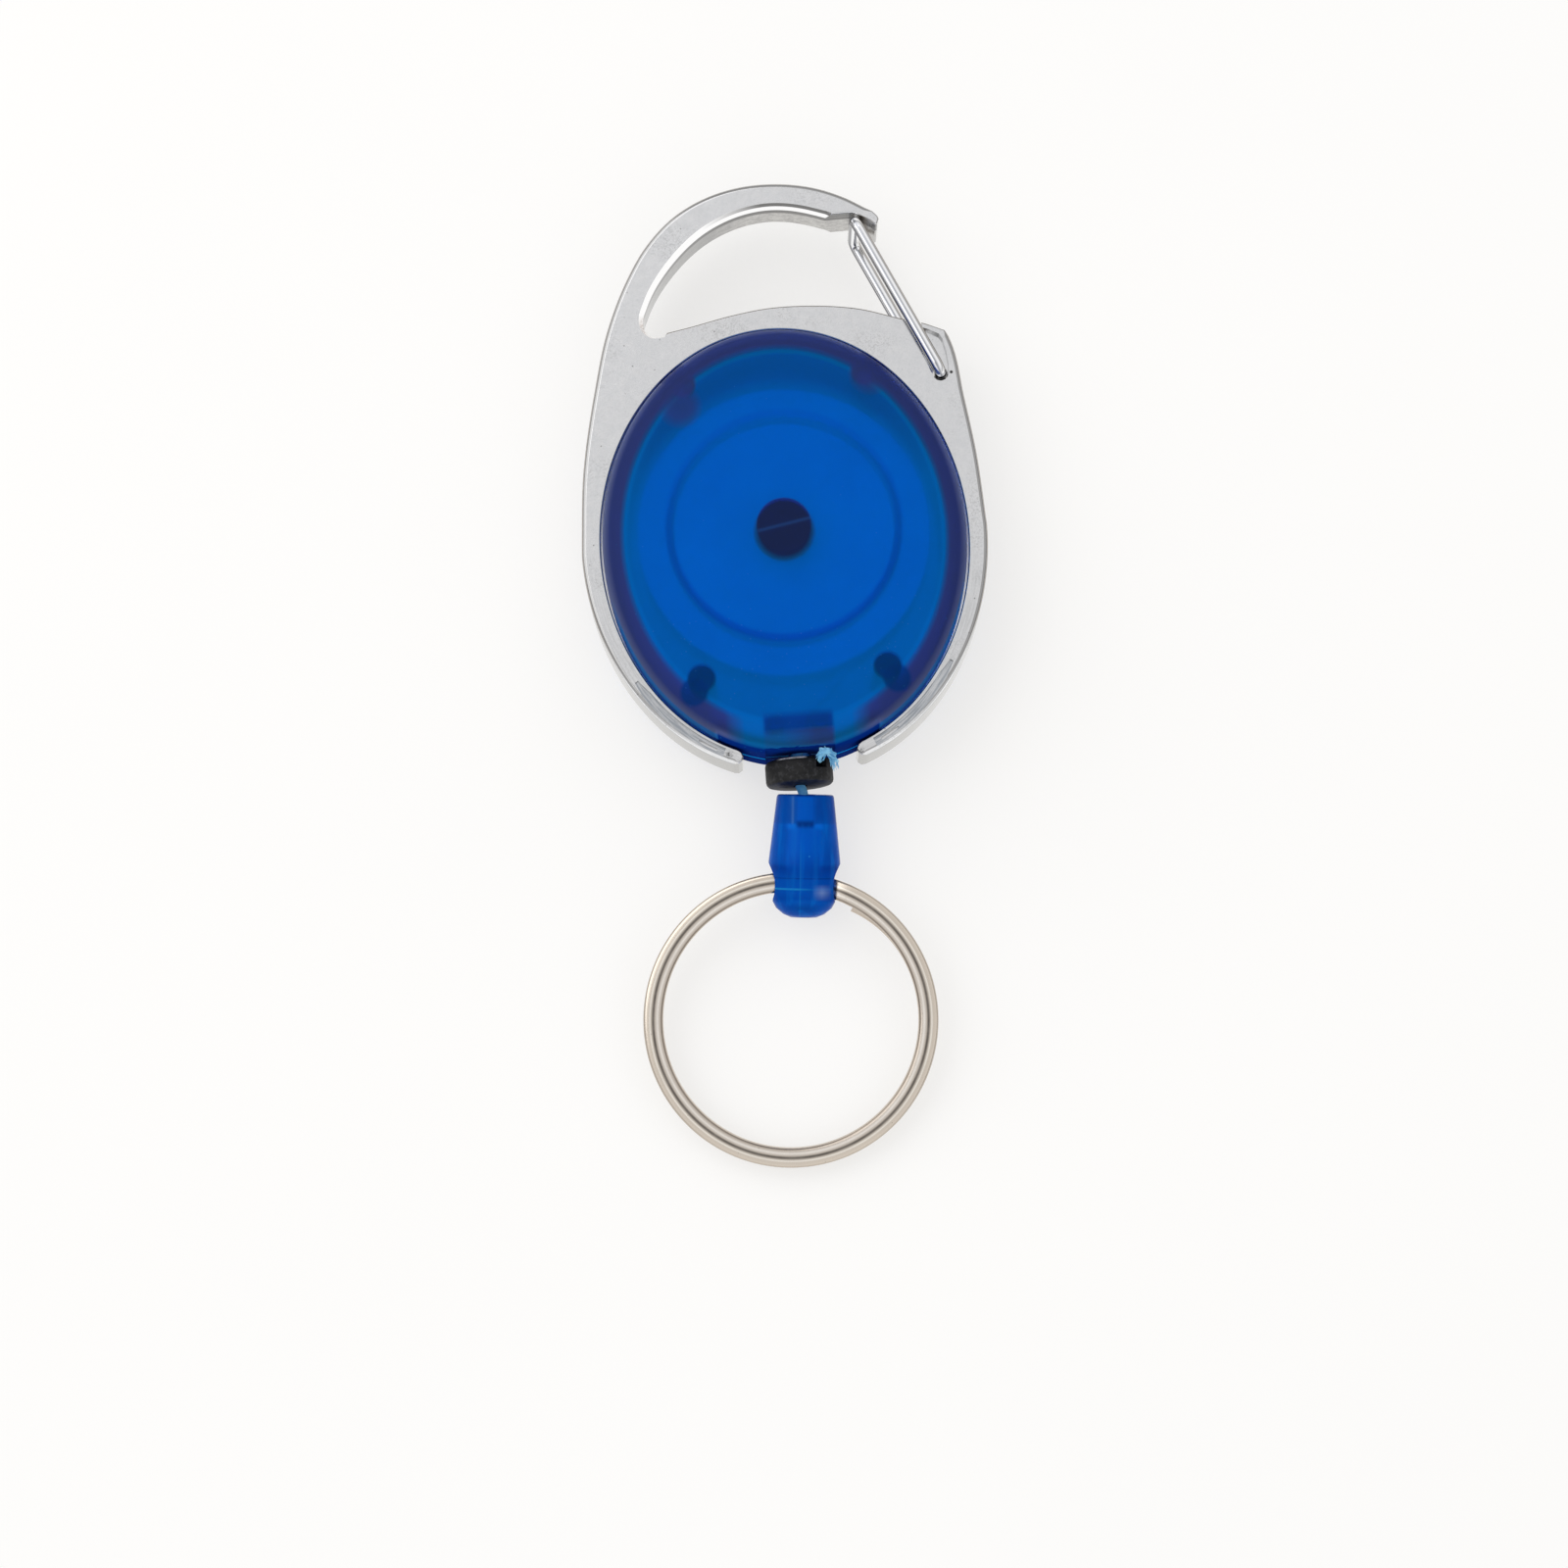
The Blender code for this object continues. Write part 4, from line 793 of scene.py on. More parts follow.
def pocket_cutter(side):
    """The shallow seat of a gate leg, round at the pivot and open through the shoulder's edge."""
    floor = FRAME_THICKNESS / 2 - POCKET_DEPTH
    half = WIRE_RADIUS + POCKET_GAP
    arc = [Vector(PIVOT) + Vector((cos(a), sin(a))) * half
           for a in (pi, 7 * pi / 6, 4 * pi / 3, 3 * pi / 2, 5 * pi / 3, 11 * pi / 6, 2 * pi)]
    outline = share_points(POCKET_LEFT_SHARES) + arc + share_points(POCKET_RIGHT_SHARES)
    heights = sorted((MID_HEIGHT + side * floor, MID_HEIGHT + side * (FRAME_THICKNESS / 2 + CUT_OVERRUN)))
    return loft(f"gate_pocket_{'front' if side > 0 else 'back'}",
                [[(*p, z) for p in outline] for z in heights])


def channel_cutter(name, mirror, side, width, depth, shares):
    """A shallow channel along the face of a leg, between two shares of the leg's length."""
    tip = prong_angle()
    first, last = [round(LEG_STEPS * share) for share in shares]
    inner, outer = [], []
    for k in range(first, last + 1):
        share = k / LEG_STEPS
        middle = SEAT_GAP + leg_width(share) / 2
        half = width / 2 * min(1, TAPER_START_SHARE + TAPER_GROWTH * (k - first) / (last - first))
        inner.append(oval_point(tip * share, middle - half))
        outer.append(oval_point(tip * share, middle + half))
    outline = [Vector((mirror * p.x, p.y)) for p in inner + outer[::-1]]
    low = FRAME_THICKNESS / 2 - depth
    high = FRAME_THICKNESS / 2 + CUT_OVERRUN
    return loft(name, [[(*p, MID_HEIGHT + side * z) for p in outline] for z in (low, high)])


def make_frame(mat):
    ob = frame_plate(mat)
    join(ob, retaining_band("frame_rib", 0))
    grooves = (("channel", CHANNEL_WIDTH, CHANNEL_DEPTH, CHANNEL_SHARES),
               ("slit", SLIT_WIDTH, SLIT_DEPTH, SLIT_SHARES))
    for side in (-1, 1):
        cut(ob, pocket_cutter(side))
        for mirror in (-1, 1):
            for name, *sizes in grooves:
                cut(ob, channel_cutter(f"leg_{name}_{side}_{mirror}", mirror, side, *sizes))
    hole = rod("pivot_hole", WIRE_RADIUS + SEAT_GAP, FRAME_BACK - CUT_OVERRUN, FRAME_FRONT + CUT_OVERRUN,
               PIN_STEPS)
    hole.location = (*PIVOT, 0)
    cut(ob, hole)
    return ob


# Wire gate

def gate_route():
    """From the pivot hole in front, up and over behind the nose, and down to the hole behind."""
    leg = FRAME_THICKNESS / 2 + SEAT_GAP + WIRE_RADIUS
    inside = FRAME_THICKNESS / 2 - PIVOT_DEPTH
    bend = GATE_BEND_RADIUS
    along, length = gate_line()

    def place(distance, height):
        return Vector((*(along * distance), height))

    quarter = quarter_turn(GATE_BEND_STEPS)
    front = [place(0, inside), place(0, leg - bend - WIRE_RADIUS)]
    front += [place(bend * (1 - cos(a)), leg - bend * (1 - sin(a))) for a in quarter]
    front += [place(length * k / 4, leg) for k in (1, 2, 3)]
    front += [place(length - bend * (1 - sin(a)), leg - bend * (1 - cos(a))) for a in quarter]
    front += [place(length, leg - bend - bend)]
    back = [Vector((p.x, p.y, -p.z)) for p in front[::-1]]
    return front + back


def make_gate(mat, parent):
    return tube("wire_gate", gate_route(), WIRE_RADIUS, mat, parent)


# Stopper, cord end, fitting and ring

def make_stopper(mat):
    r, length, soft = STOPPER_RADIUS, STOPPER_LENGTH, STOPPER_ROUND
    bore = CORD_RADIUS + SEAT_GAP
    arc = quarter_turn(STOPPER_ROUND_STEPS)
    profile = [(bore, 0)]
    profile += [(r - soft * (1 - sin(a)), soft * (1 - cos(a))) for a in arc]
    profile += [(r - soft * (1 - cos(a)), length - soft * (1 - sin(a))) for a in arc]
    profile += [(bore, length)]
    ob = turned("stopper", profile, FITTING_STEPS, mat)
    ob.rotation_euler = (-pi / 2, 0, 0)
    groove = block("tail_groove", (0, STOPPER_LENGTH - 2 * CORD_RADIUS - SEAT_GAP, -CORD_RADIUS - SEAT_GAP),
                   (STOPPER_RADIUS + CUT_OVERRUN, STOPPER_LENGTH + CUT_OVERRUN, CORD_RADIUS + SEAT_GAP))
    ob.location = groove.location = (-STOPPER_SIDE, STOPPER_FACE, MID_HEIGHT)
    groove.rotation_euler = (0, -TAIL_LEAN, 0)
    cut(ob, groove)
    return ob


def fitting_turn():
    """The turn of the fitting: its own Z runs up its axis, its own X along the slot."""
    return -(pi / 2 - FITTING_DROOP), 0, -FITTING_YAW


def fitting_down():
    """The direction of the fitting's axis, away from the stopper."""
    turn = Matrix.Rotation(-FITTING_YAW, 3, "Z") @ Matrix.Rotation(FITTING_DROOP - pi / 2, 3, "X")
    return turn @ Vector((0, 0, -1))


def fitting_top():
    return Vector((FITTING_SHIFT, FITTING_TOP, MID_HEIGHT))


def make_cord_end(mat):
    """Through the stopper, into the fitting's bore, and a knot in the cavity."""
    axis = fitting_down()
    top = fitting_top()
    start = Vector((-STOPPER_SIDE, STOPPER_BACK, MID_HEIGHT))
    leave = Vector((-STOPPER_SIDE, STOPPER_FACE, MID_HEIGHT))
    points = [start, start.lerp(leave, 1 / 3), start.lerp(leave, 2 / 3), leave]
    points += [leave * 0.45 + top * 0.55 + Vector((-STOPPER_SIDE / 3, 0, 0)), top + axis * FITTING_BORE]
    points.append(top + axis * CAVITY_TOP / 2)
    knot = KNOT_RADIUS / CORD_RADIUS
    centre = CAVITY_TOP + KNOT_RADIUS + RUN_GAP
    swell = [1.0] * len(points)
    for k in range(KNOT_STEPS):
        angle = pi * (k + 0.5) / KNOT_STEPS
        points.append(top + axis * (centre - KNOT_RADIUS * cos(angle)))
        swell.append(max(1.0 if k == 0 else 0.0, knot * sin(angle)))
    return tube("cord_end", points, CORD_RADIUS, mat, swell=swell)


def make_fitting(mat, parent):
    body = [(0, 0)] + [(r * FITTING_RADIUS, -s * FITTING_LENGTH) for s, r in FITTING_SHARES]
    ob = turned("ring_fitting", body + [(0, -FITTING_LENGTH)], FITTING_STEPS, mat, parent)
    mouth = FITTING_BORE + SEAT_GAP
    bore = turned("fitting_bore", [
        (0, CUT_OVERRUN), (mouth, CUT_OVERRUN), (mouth, 0), (FITTING_BORE, -SEAT_GAP),
        (FITTING_BORE, -CAVITY_TOP), (CAVITY_RADIUS, -CAVITY_TOP - SEAT_GAP),
        (CAVITY_RADIUS, -(CAVITY_TOP + SLOT_CENTRE - SLOT_HALF_LENGTH) / 2),
        (KNOT_RADIUS, -SLOT_CENTRE + SLOT_HALF_LENGTH), (KNOT_RADIUS, -SLOT_CENTRE),
        (0, -SLOT_CENTRE)], PIN_STEPS, None, parent)
    rings = []
    reach = FITTING_RADIUS + CUT_OVERRUN
    for share in SLOT_SECTION_SHARES:
        length = SLOT_HALF_LENGTH + SLOT_FLARE_LENGTH * share ** 2
        depth = SLOT_HALF_DEPTH + SLOT_FLARE_DEPTH * share ** 2
        rings.append([(reach * share, depth * cos(a), length * sin(a) - SLOT_CENTRE)
                      for a in whole_turn(SLOT_STEPS)])
    slot = loft("ring_slot", rings, None, parent)
    cut(ob, bore, slot)
    return ob


def strand_section():
    """The strand's outline: rounded corners and slightly crowned flats, as (radial, height)."""
    wide, tall, soft = RING_BAND / 2, RING_STRAND / 2, RING_ROUND
    flat = tall - RING_CROWN
    corner = [(wide - soft * (1 - cos(a)), flat - soft * (1 - sin(a)))
              for a in quarter_turn(RING_CORNER_STEPS)]
    top = corner + [(0, tall)] + [(-r, z) for r, z in corner[::-1]]
    return top + [(-r, -z) for r, z in top]


def make_split_ring(mat, parent, centre):
    """The strand: an upper turn, a ramp, and a lower turn under the first one."""
    half = (RING_STRAND + RING_STRAND_GAP) / 2
    mean = RING_RADIUS - RING_BAND / 2
    flat = 2 * pi - RING_RAMP
    stops = [flat * k / RING_STEPS for k in range(RING_STEPS)]
    stops += [flat + RING_RAMP * k / RING_RAMP_STEPS for k in range(RING_RAMP_STEPS)]
    stops += [2 * pi + flat * k / RING_STEPS for k in range(RING_STEPS + 1)]
    rings = []
    for turn in stops:
        share = min(max((turn - flat) / RING_RAMP, 0), 1)
        height = half * cos(pi * share)
        tail = max((turn - stops[-1]) / RING_PEEK_ANGLE + 1, 0)
        radius = mean - RING_PEEK * tail ** 2
        angle = RING_CUT_ANGLE + turn
        rings.append([centre + Vector(((radius + r) * cos(angle), (radius + r) * sin(angle), height + z))
                      for r, z in strand_section()])
    return loft("split_ring", rings, mat, parent)


def ring_pose():
    """The slot's middle, the ring's tilt so that it rests on the back plane, and its centre's offset."""
    slot = fitting_top() + fitting_down() * SLOT_CENTRE
    mean = RING_RADIUS - RING_BAND / 2
    reach = sqrt(mean ** 2 - RING_SIDE ** 2)
    tilt = asin((slot.z - RING_HEIGHT / 2 - REST_GAP) / (reach + RING_RADIUS))
    return slot, tilt, Vector((-RING_SIDE, -reach, 0))


# Colours, as linear shares of red, green and blue

CASE_BLUE = (0.001, 0.265, 0.73)
CASE_BLUE_LIGHT = (0.001, 0.285, 0.77)
RIM_BLUE = (0.075, 0.115, 0.41)
# painted sheen, lighter towards the dome's outer edge
RIM_SHEEN_BLUE = (0.33, 0.40, 0.68)
SKIRT_BLUE = (0.001, 0.025, 0.22)
EDGE_BLUE = (0.04, 0.36, 1.0)
GLEAM_BLUE = (0.002, 0.34, 0.90)
BLOCK_BLUE = (0.006, 0.125, 0.52)
UPPER_SHADE_BLUE = (0.004, 0.20, 0.62)
BOSS_BLUE = (0.004, 0.09, 0.38)
POST_BLUE = (0.035, 0.060, 0.20)
POST_SLOT_BLUE = (0.045, 0.13, 0.42)
POST_SHADE_BLUE = (0.03, 0.045, 0.17)
DUST_BLUE = (0.05, 0.42, 0.92)
SPOOL_BLUE = (0.01, 0.54, 0.97)
SPOOL_BLUE_LIGHT = (0.01, 0.60, 1.0)
SPOOL_LINE_BLUE = (0.002, 0.10, 0.60)
LINE_BLUE = (0.001, 0.17, 0.64)
FITTING_BLUE = (0.001, 0.075, 0.44)
FITTING_BLUE_LIGHT = (0.001, 0.10, 0.52)
CAVITY_BLUE = (0.001, 0.16, 0.76)
FITTING_DARK_BLUE = (0.001, 0.05, 0.30)
FITTING_TEAL = (0.02, 0.42, 0.85)
FITTING_HIGHLIGHT_GREY = (0.10, 0.26, 0.56)
FITTING_LIGHT_BLUE = (0.002, 0.22, 0.80)
FITTING_SHINE = (0.55, 0.75, 1.0)
PLATE_LIGHT = (0.94, 0.94, 0.95)
PLATE_DARK = (0.86, 0.87, 0.89)
PLATE_WORN = (0.56, 0.56, 0.56)
PLATE_BEVEL_HIGHLIGHT = (0.99, 0.99, 1.0)
PLATE_ROUNDING_SHADE = (0.30, 0.295, 0.29)
PLATE_CHANNEL_SHADE = (0.34, 0.38, 0.43)
PLATE_MIRROR_BLUE = (0.03, 0.24, 0.78)
# Tones of the frame's walls: painted shade and painted reflection of the floor
WALL_LIGHT = (0.50, 0.49, 0.47)
WALL_DARK = (0.33, 0.32, 0.31)
WALL_SIDE_SHADE = (0.21, 0.21, 0.21)
LEG_WALL_SHADE = (0.15, 0.145, 0.13)
WALL_LIT_REFLECTION = (0.70, 0.695, 0.685)
EDGE_SHADE_BROWN = (0.22, 0.18, 0.14)
# painted shade in the creases and the recess, and also the colour of specks, the pit and the tip marks
SHADE_AND_SPECK_GREY = (0.04, 0.038, 0.036)
CORNER_BROWN = (0.25, 0.15, 0.09)
RING_CLOUD = (0.58, 0.52, 0.46)
RING_SPECK = (0.2, 0.17, 0.14)
STRIP_LIGHT = (0.35, 0.35, 0.37)
STRIP_DARK = (0.28, 0.28, 0.30)
COVER_LIGHT = (0.55, 0.60, 0.66)
COVER_DARK = (0.50, 0.55, 0.60)
CORD_LIGHT = (0.20, 0.55, 0.85)
CORD_DARK = (0.06, 0.28, 0.60)
FIBRE_LIGHT = (0.42, 0.80, 0.98)
FIBRE_DARK = (0.05, 0.32, 0.66)
RUBBER_LIGHT = (0.015, 0.015, 0.015)
RUBBER_DARK = (0.006, 0.006, 0.007)
RUBBER_FACE_SHADE = (0.002, 0.006, 0.022)
RUBBER_MOTTLE = (0.045, 0.045, 0.048)
RUBBER_SPECK = (0.11, 0.11, 0.12)
STOPPER_HIGHLIGHT = (0.80, 0.79, 0.76)
FLOOR_DARK = (0.925, 0.915, 0.90)
FLOOR_LIGHT = (0.955, 0.945, 0.93)
FLOOR_GLOW = (1.0, 0.993, 0.98)

# Places on the frame and the case, which their looks follow
EYE_MIDDLE = (-0.001, 0.0285)
EYE_CORNER = (-0.01166, 0.0222)
CORNER_REACH = 0.0018
PIVOT_PIT_SIDE = 0.0011      # a small casting pit beside the gate's pivot
PIVOT_PIT_RADIUS = 0.00016
WINDOW_REACH_SHARE = 0.05
CREASE_HALF = 0.00048
CREASE_SOFT = 0.00006
RIDGE_HALF = 0.00028
PRONG_MARKS = ((-0.00716, -0.02272), (0.00616, -0.02328))
PRONG_MARK_RADIUS = 0.0003
STREAK_STRETCH = 20.0        # how much longer than wide the streaks along the legs are
RECESS_MIDDLE = 0.0006
RECESS_HALF = 0.00054
RIM_MIDDLE_SHARE = 0.95      # the overlapping lips, seen through the dome
RIM_HALF_SHARE = 0.063
RIM_SOFT_SHARE = 0.03
RIM_SHEEN_SHARE = 0.955
GLEAM_SHARE = 0.866          # painted highlight line along the lips' inner side
GLEAM_HALF_SHARE = 0.010
LOW_PART = -0.009            # below this height the skirt shows outside the lips
SKIRT_HALF_SHARE = 0.012
LIP_STOP = 0.0064            # the lips stop at both sides of the way out
LOBES = ((-0.0097, 0.0130), (0.0099, 0.0151))   # the upper sockets' shadows
LOBE_RADIUS = 0.0018
PIN_LEAN_SHARES = (1.0, 1.09)    # a pin's foot and its head, seen slantwise
UPPER_SHADE_SHARES = (0.92, 1.02)
EXIT_BLOCK_HALF_WIDTH = 0.0035
EXIT_BLOCK_MIDDLE = -0.0204
EXIT_BLOCK_HALF = 0.0009
EXIT_LIP_MIDDLE = -0.0219
EXIT_LIP_HALF = 0.0008
SOFT = 0.0004
SLOT_LINE_HALF = 0.00015
SPOOL_LINE_SHARE = 0.777
SPOOL_LINE_HALF_SHARE = 0.026

# Flatness of a face, 1 where it looks straight up or down: where a mark starts and stops
WALL_FLATNESS = (0.12, 0.22)
MIRROR_FLATNESS = (0.1, 0.3)
STREAK_FLATNESS = (0.2, 0.5)
RECESS_FLATNESS = (0.35, 0.5)
SKIRT_FLATNESS = (0.35, 0.65)
FACE_FLATNESS = (0.9, 0.99)

# The same as middle, half and soft
BEVEL_FLATNESS = (0.316, 0.08, 0.06)
ROUNDING_FLATNESS = (0.86, 0.135, 0.02)
OUTER_EDGE_FLATNESS = (0.54, 0.16, 0.08)
INNER_EDGE_FLATNESS = (0.65, 0.27, 0.1)

# The normal's share towards the hook, where a mark starts and stops
UPPER_TILT = (-0.45, -0.25)
HANGING_TILT = (0.1, 0.3)
STOPPER_FACE_TILT = (-0.9, -0.6)

# Zones down the fitting's axis as shares of its length: middle, half and soft, or start and stop
FITTING_STREAK = 9.0         # how long the streaks are for their width
HEAD_SHARES = (0.0, 0.235, 0.02)
SEAT_SHARES = (0.235, 0.025, 0.03)
MOUTH_SHARES = (0.0, 0.012, 0.02)
RING_TOP_SHARES = (0.676, 0.004, 0.008)
RING_MIDDLE_SHARES = (0.763, 0.006, 0.012)
SHINE_SHARES = (0.79, 0.03, 0.08)
TIP_SHARES = (0.92, 0.03, 0.06)
HOLLOW_SHARES = (0.45, 0.65)
RING_START_SHARES = (0.60, 0.70)
RING_STOP_SHARES = (0.78, 0.90)

# Noises: scale per metre, then detail and roughness
CLOUD_NOISE = (200.0, 4.0, 0.55)
PATCH_NOISE = (170.0, 3.0, 0.6)
GRAIN_NOISE = (5000.0, 3.0, 0.7)
WALL_SHADE_NOISE = (1600.0, 4.0, 0.75)
PLATE_NOISE = (1300.0, 5.0, 0.7)
STREAK_NOISE = (6.0, 4.0, 0.6)   # round the case's oval, not per metre
SHEEN_NOISE = (900.0, 3.0, 0.6)
MOULDED_NOISE = (1500.0, 2.0)
MOULD_GRAIN_NOISE = (5000.0, 3.0, 0.6)
WAVE_NOISE = (420.0, 2.0)
RIPPLE_NOISE = (5200.0, 3.0)
DRAWN_NOISE = (2600.0, 3.0, 0.6)
STEEL_NOISE = (260.0, 4.0, 0.6)
RING_NOISE = (500.0, 4.0, 0.7)
FITTING_NOISE = (300.0, 3.0)
FLOW_NOISE = (1100.0, 3.0, 0.5)  # along the fitting's axis
SPOOL_NOISE = (200.0, 3.0)
SPOOL_GRAIN_NOISE = (3000.0, 3.0, 0.6)
RUBBER_NOISE = (900.0, 4.0, 0.7)
RUBBER_MOTTLE_NOISE = (1900.0, 4.0, 0.7)
RUBBER_SHEEN_NOISE = (700.0, 3.0, 0.6)
RUBBER_GRAIN_NOISE = (2600.0, 4.0, 0.7)

# Levels of a noise: where the thing that follows it starts and is whole
WORN_EDGE = (0.48, 0.62)
STREAK_EDGE = (0.42, 0.60)
FLOW_EDGE = (0.5, 0.65)

# Specks: scale per metre, and the size of each as a share of its cell
PLATE_SPECKS = (700.0, 0.07)
WIRE_SPECKS = (1200.0, 0.06)
RING_SPECKS = (900.0, 0.06)
DUST_SPECKS = (560.0, 0.04)
LOW_DUST_SPECKS = (1200.0, 0.13)
FITTING_SPECKS = (420.0, 0.05)
RUBBER_SPECKS = (1500.0, 0.1)
PIT_SHADE = 0.45             # how dark a pit is for the metal round it
WIRE_RIPPLE = 0.000001
SPOOL_GRAIN = 0.000003
RUBBER_GRAIN = 0.00003
FINE_RIPPLE_SHARE = 12       # how many times shallower the fine grain is than the long waves

# Tones across the ring's band, from its inner to its outer edge: painted highlights and dark reflections
RING_TONES = (
    (0.0, (0.60, 0.52, 0.44)), (0.08, (0.24, 0.20, 0.165)), (0.16, (0.60, 0.53, 0.46)),
    (0.28, (0.96, 0.90, 0.83)), (0.40, (0.60, 0.53, 0.46)), (0.47, (0.12, 0.105, 0.09)),
    (0.53, (0.20, 0.175, 0.15)), (0.60, (0.66, 0.59, 0.51)), (0.66, (0.97, 0.91, 0.82)),
    (0.73, (0.70, 0.62, 0.53)), (0.90, (0.68, 0.60, 0.51)), (1.0, (0.42, 0.36, 0.30)),
)

# Tones across the gate's wire, from its lower left to its upper right side: painted reflections of a dark
# room
WIRE_TONES = (
    (0.0, (0.12, 0.12, 0.12)), (0.06, (0.20, 0.20, 0.22)), (0.12, (0.85, 0.86, 0.88)),
    (0.26, (0.95, 0.95, 0.97)), (0.34, (0.40, 0.41, 0.44)), (0.42, (0.30, 0.31, 0.34)),
    (0.50, (0.75, 0.76, 0.78)), (0.62, (0.97, 0.97, 0.98)), (0.74, (0.85, 0.85, 0.86)),
    (0.84, (0.50, 0.49, 0.48)), (0.93, (0.25, 0.22, 0.19)), (1.0, (0.15, 0.12, 0.10)),
)


class Nodes:
    """Short ways to add nodes to a tree; each gives the new node's output."""

    def __init__(self, tree):
        self.nodes = tree.nodes
        self.links = tree.links

    def put(self, value, socket):
        if hasattr(value, "links"):
            self.links.new(value, socket)
        elif hasattr(value, "__len__") and len(value) < len(socket.default_value):
            socket.default_value = (*value, 1.0)
        else:
            socket.default_value = value

    def add(self, kind, output, inputs, **settings):
        node = self.nodes.new("ShaderNode" + kind)
        for key, value in settings.items():
            setattr(node, key, value)
        for key, value in inputs.items():
            self.put(value, node.inputs[key])
        return node.outputs[output]

    def ramp(self, value, *stops):
        output = self.add("ValToRGB", "Color", {"Fac": value})
        stop_list = output.node.color_ramp.elements
        while len(stop_list) < len(stops):
            stop_list.new(1.0)
        for stop, (at, colour) in zip(stop_list, stops):
            stop.position = at
            stop.color = (*colour, 1.0)
        return output

    def mix(self, share, first, second):
        return self.add("Mix", 2, {0: share, 6: first, 7: second}, data_type="RGBA")

    def layered(self, colour, marks):
        """The colour with each mark's tone laid over it by the mark's share, in order."""
        for share, tone in marks:
            colour = self.mix(share, colour, tone)
        return colour

    def math(self, operation, first, second=0.0):
        return self.add("Math", "Value", {0: first, 1: second}, operation=operation)

    def spread(self, value, low, high, start=0.0, stop=1.0):
        """The value carried over from start and stop to low and high, and held beyond them."""
        return self.add("MapRange", "Result", {"From Min": start, "From Max": stop, "To Min": low,
                                               "To Max": high, "Value": value})

    def rises(self, value, start, stop):
        return self.spread(value, 0.0, 1.0, start, stop)

    def falls(self, value, start=0.0, stop=1.0):
        return self.spread(value, 1.0, 0.0, start, stop)

    def split(self, value):
        return tuple(self.add("SeparateXYZ", "X", {"Vector": value}).node.outputs)


class Look(Nodes):
    """A Principled material with helpers for its procedural detail."""

    def __init__(self, name, roughness, metallic=0.0):
        self.mat = bpy.data.materials.new(name)
        self.mat.use_nodes = True
        super().__init__(self.mat.node_tree)
        self.shader = self.nodes["Principled BSDF"]
        self.set(Roughness=roughness, Metallic=metallic)
        coordinates = self.add("TexCoord", "Object", {}).node.outputs
        self.place = coordinates["Object"]
        self.normal = coordinates["Normal"]

    def set(self, **values):
        for key, value in values.items():
            self.shader.inputs[key.replace("_", " ")].default_value = value

    def feed(self, key, value):
        self.links.new(value, self.shader.inputs[key])

    def noise(self, scale, detail, roughness=0.5, vector=None):
        return self.add("TexNoise", "Fac", {"Scale": scale, "Detail": detail, "Roughness": roughness,
                                            "Vector": vector or self.place})

    def specks(self, scale, size):
        distance = self.add("TexVoronoi", "Distance", {"Scale": scale, "Vector": self.place})
        return self.ramp(distance, (0.0, (1, 1, 1)), (size, (0, 0, 0)))

    def clouds(self, noise, dark, light, start=0.3, stop=0.7):
        """Two tones that follow a noise: dark up to its level start, and light from stop on."""
        return self.ramp(self.noise(*noise), (start, dark), (stop, light))

    def within(self, value, middle, half, soft):
        """1 where the value lies at most half from the middle, and 0 past a soft edge."""
        away = self.math("ABSOLUTE", self.math("SUBTRACT", value, middle))
        return self.falls(away, half - soft / 2, half + soft / 2)

    def both(self, *shares):
        """The product of all the shares."""
        total = shares[0]
        for share in shares[1:]:
            total = self.math("MULTIPLY", total, share)
        return total

    def mapped(self, move, turn, stretch=(1, 1, 1)):
        """The place as seen in a frame that is moved, turned and stretched."""
        return self.add("Mapping", "Vector", {"Location": move, "Rotation": turn, "Scale": stretch,
                                              "Vector": self.place}, vector_type="TEXTURE")

    def joined(self, x, y):
        return self.add("CombineXYZ", "Vector", {"X": x, "Y": y})

    def reach(self, x, y, middle=(0, 0)):
        """The distance in a plane from its point in the middle."""
        aside = self.math("SUBTRACT", x, middle[0])
        along = self.math("SUBTRACT", y, middle[1])
        return self.math("SQRT", self.math("ADD", self.both(aside, aside), self.both(along, along)))

    def near(self, x, y, middle, radius, soft):
        return self.within(self.reach(x, y, middle), 0.0, radius, soft)

    def on_oval(self):
        """The place in the case's oval, whose outline lies 1 away from its middle."""
        case = (CASE_HALF_WIDTH, CASE_HALF_LENGTH, 1)
        return self.split(self.mapped((0, -CASE_DROP, 0), (0, 0, 0), case))[:2]

    def bump(self, value, depth, after=None):
        inputs = {"Distance": depth, "Height": value}
        if after:
            inputs["Normal"] = after
        normal = self.add("Bump", "Normal", inputs)
        self.feed("Normal", normal)
        return normal

    def sheen(self, noise, smooth, rough):
        self.feed("Roughness", self.spread(noise, smooth, rough))

    def ripples(self, depth):
        """Long waves with a fine grain on them."""
        fine = self.noise(*RIPPLE_NOISE)
        waves = self.bump(self.noise(*WAVE_NOISE), depth)
        self.bump(fine, depth / FINE_RIPPLE_SHARE, waves)

    def drawn_finish(self, smooth, rough):
        self.sheen(self.noise(*SHEEN_NOISE), smooth, rough)
        self.bump(self.noise(*DRAWN_NOISE), WIRE_RIPPLE)


def metal_look(name, light, dark, smooth, rough, ripple):
    look = Look(name, rough, 1.0)
    cloudy = look.clouds(STEEL_NOISE, dark, light)
    look.feed("Base Color", look.mix(look.specks(*PLATE_SPECKS), cloudy, [c * PIT_SHADE for c in dark]))
    look.sheen(look.noise(*SHEEN_NOISE), smooth, rough)
    look.ripples(ripple)
    return look.mat


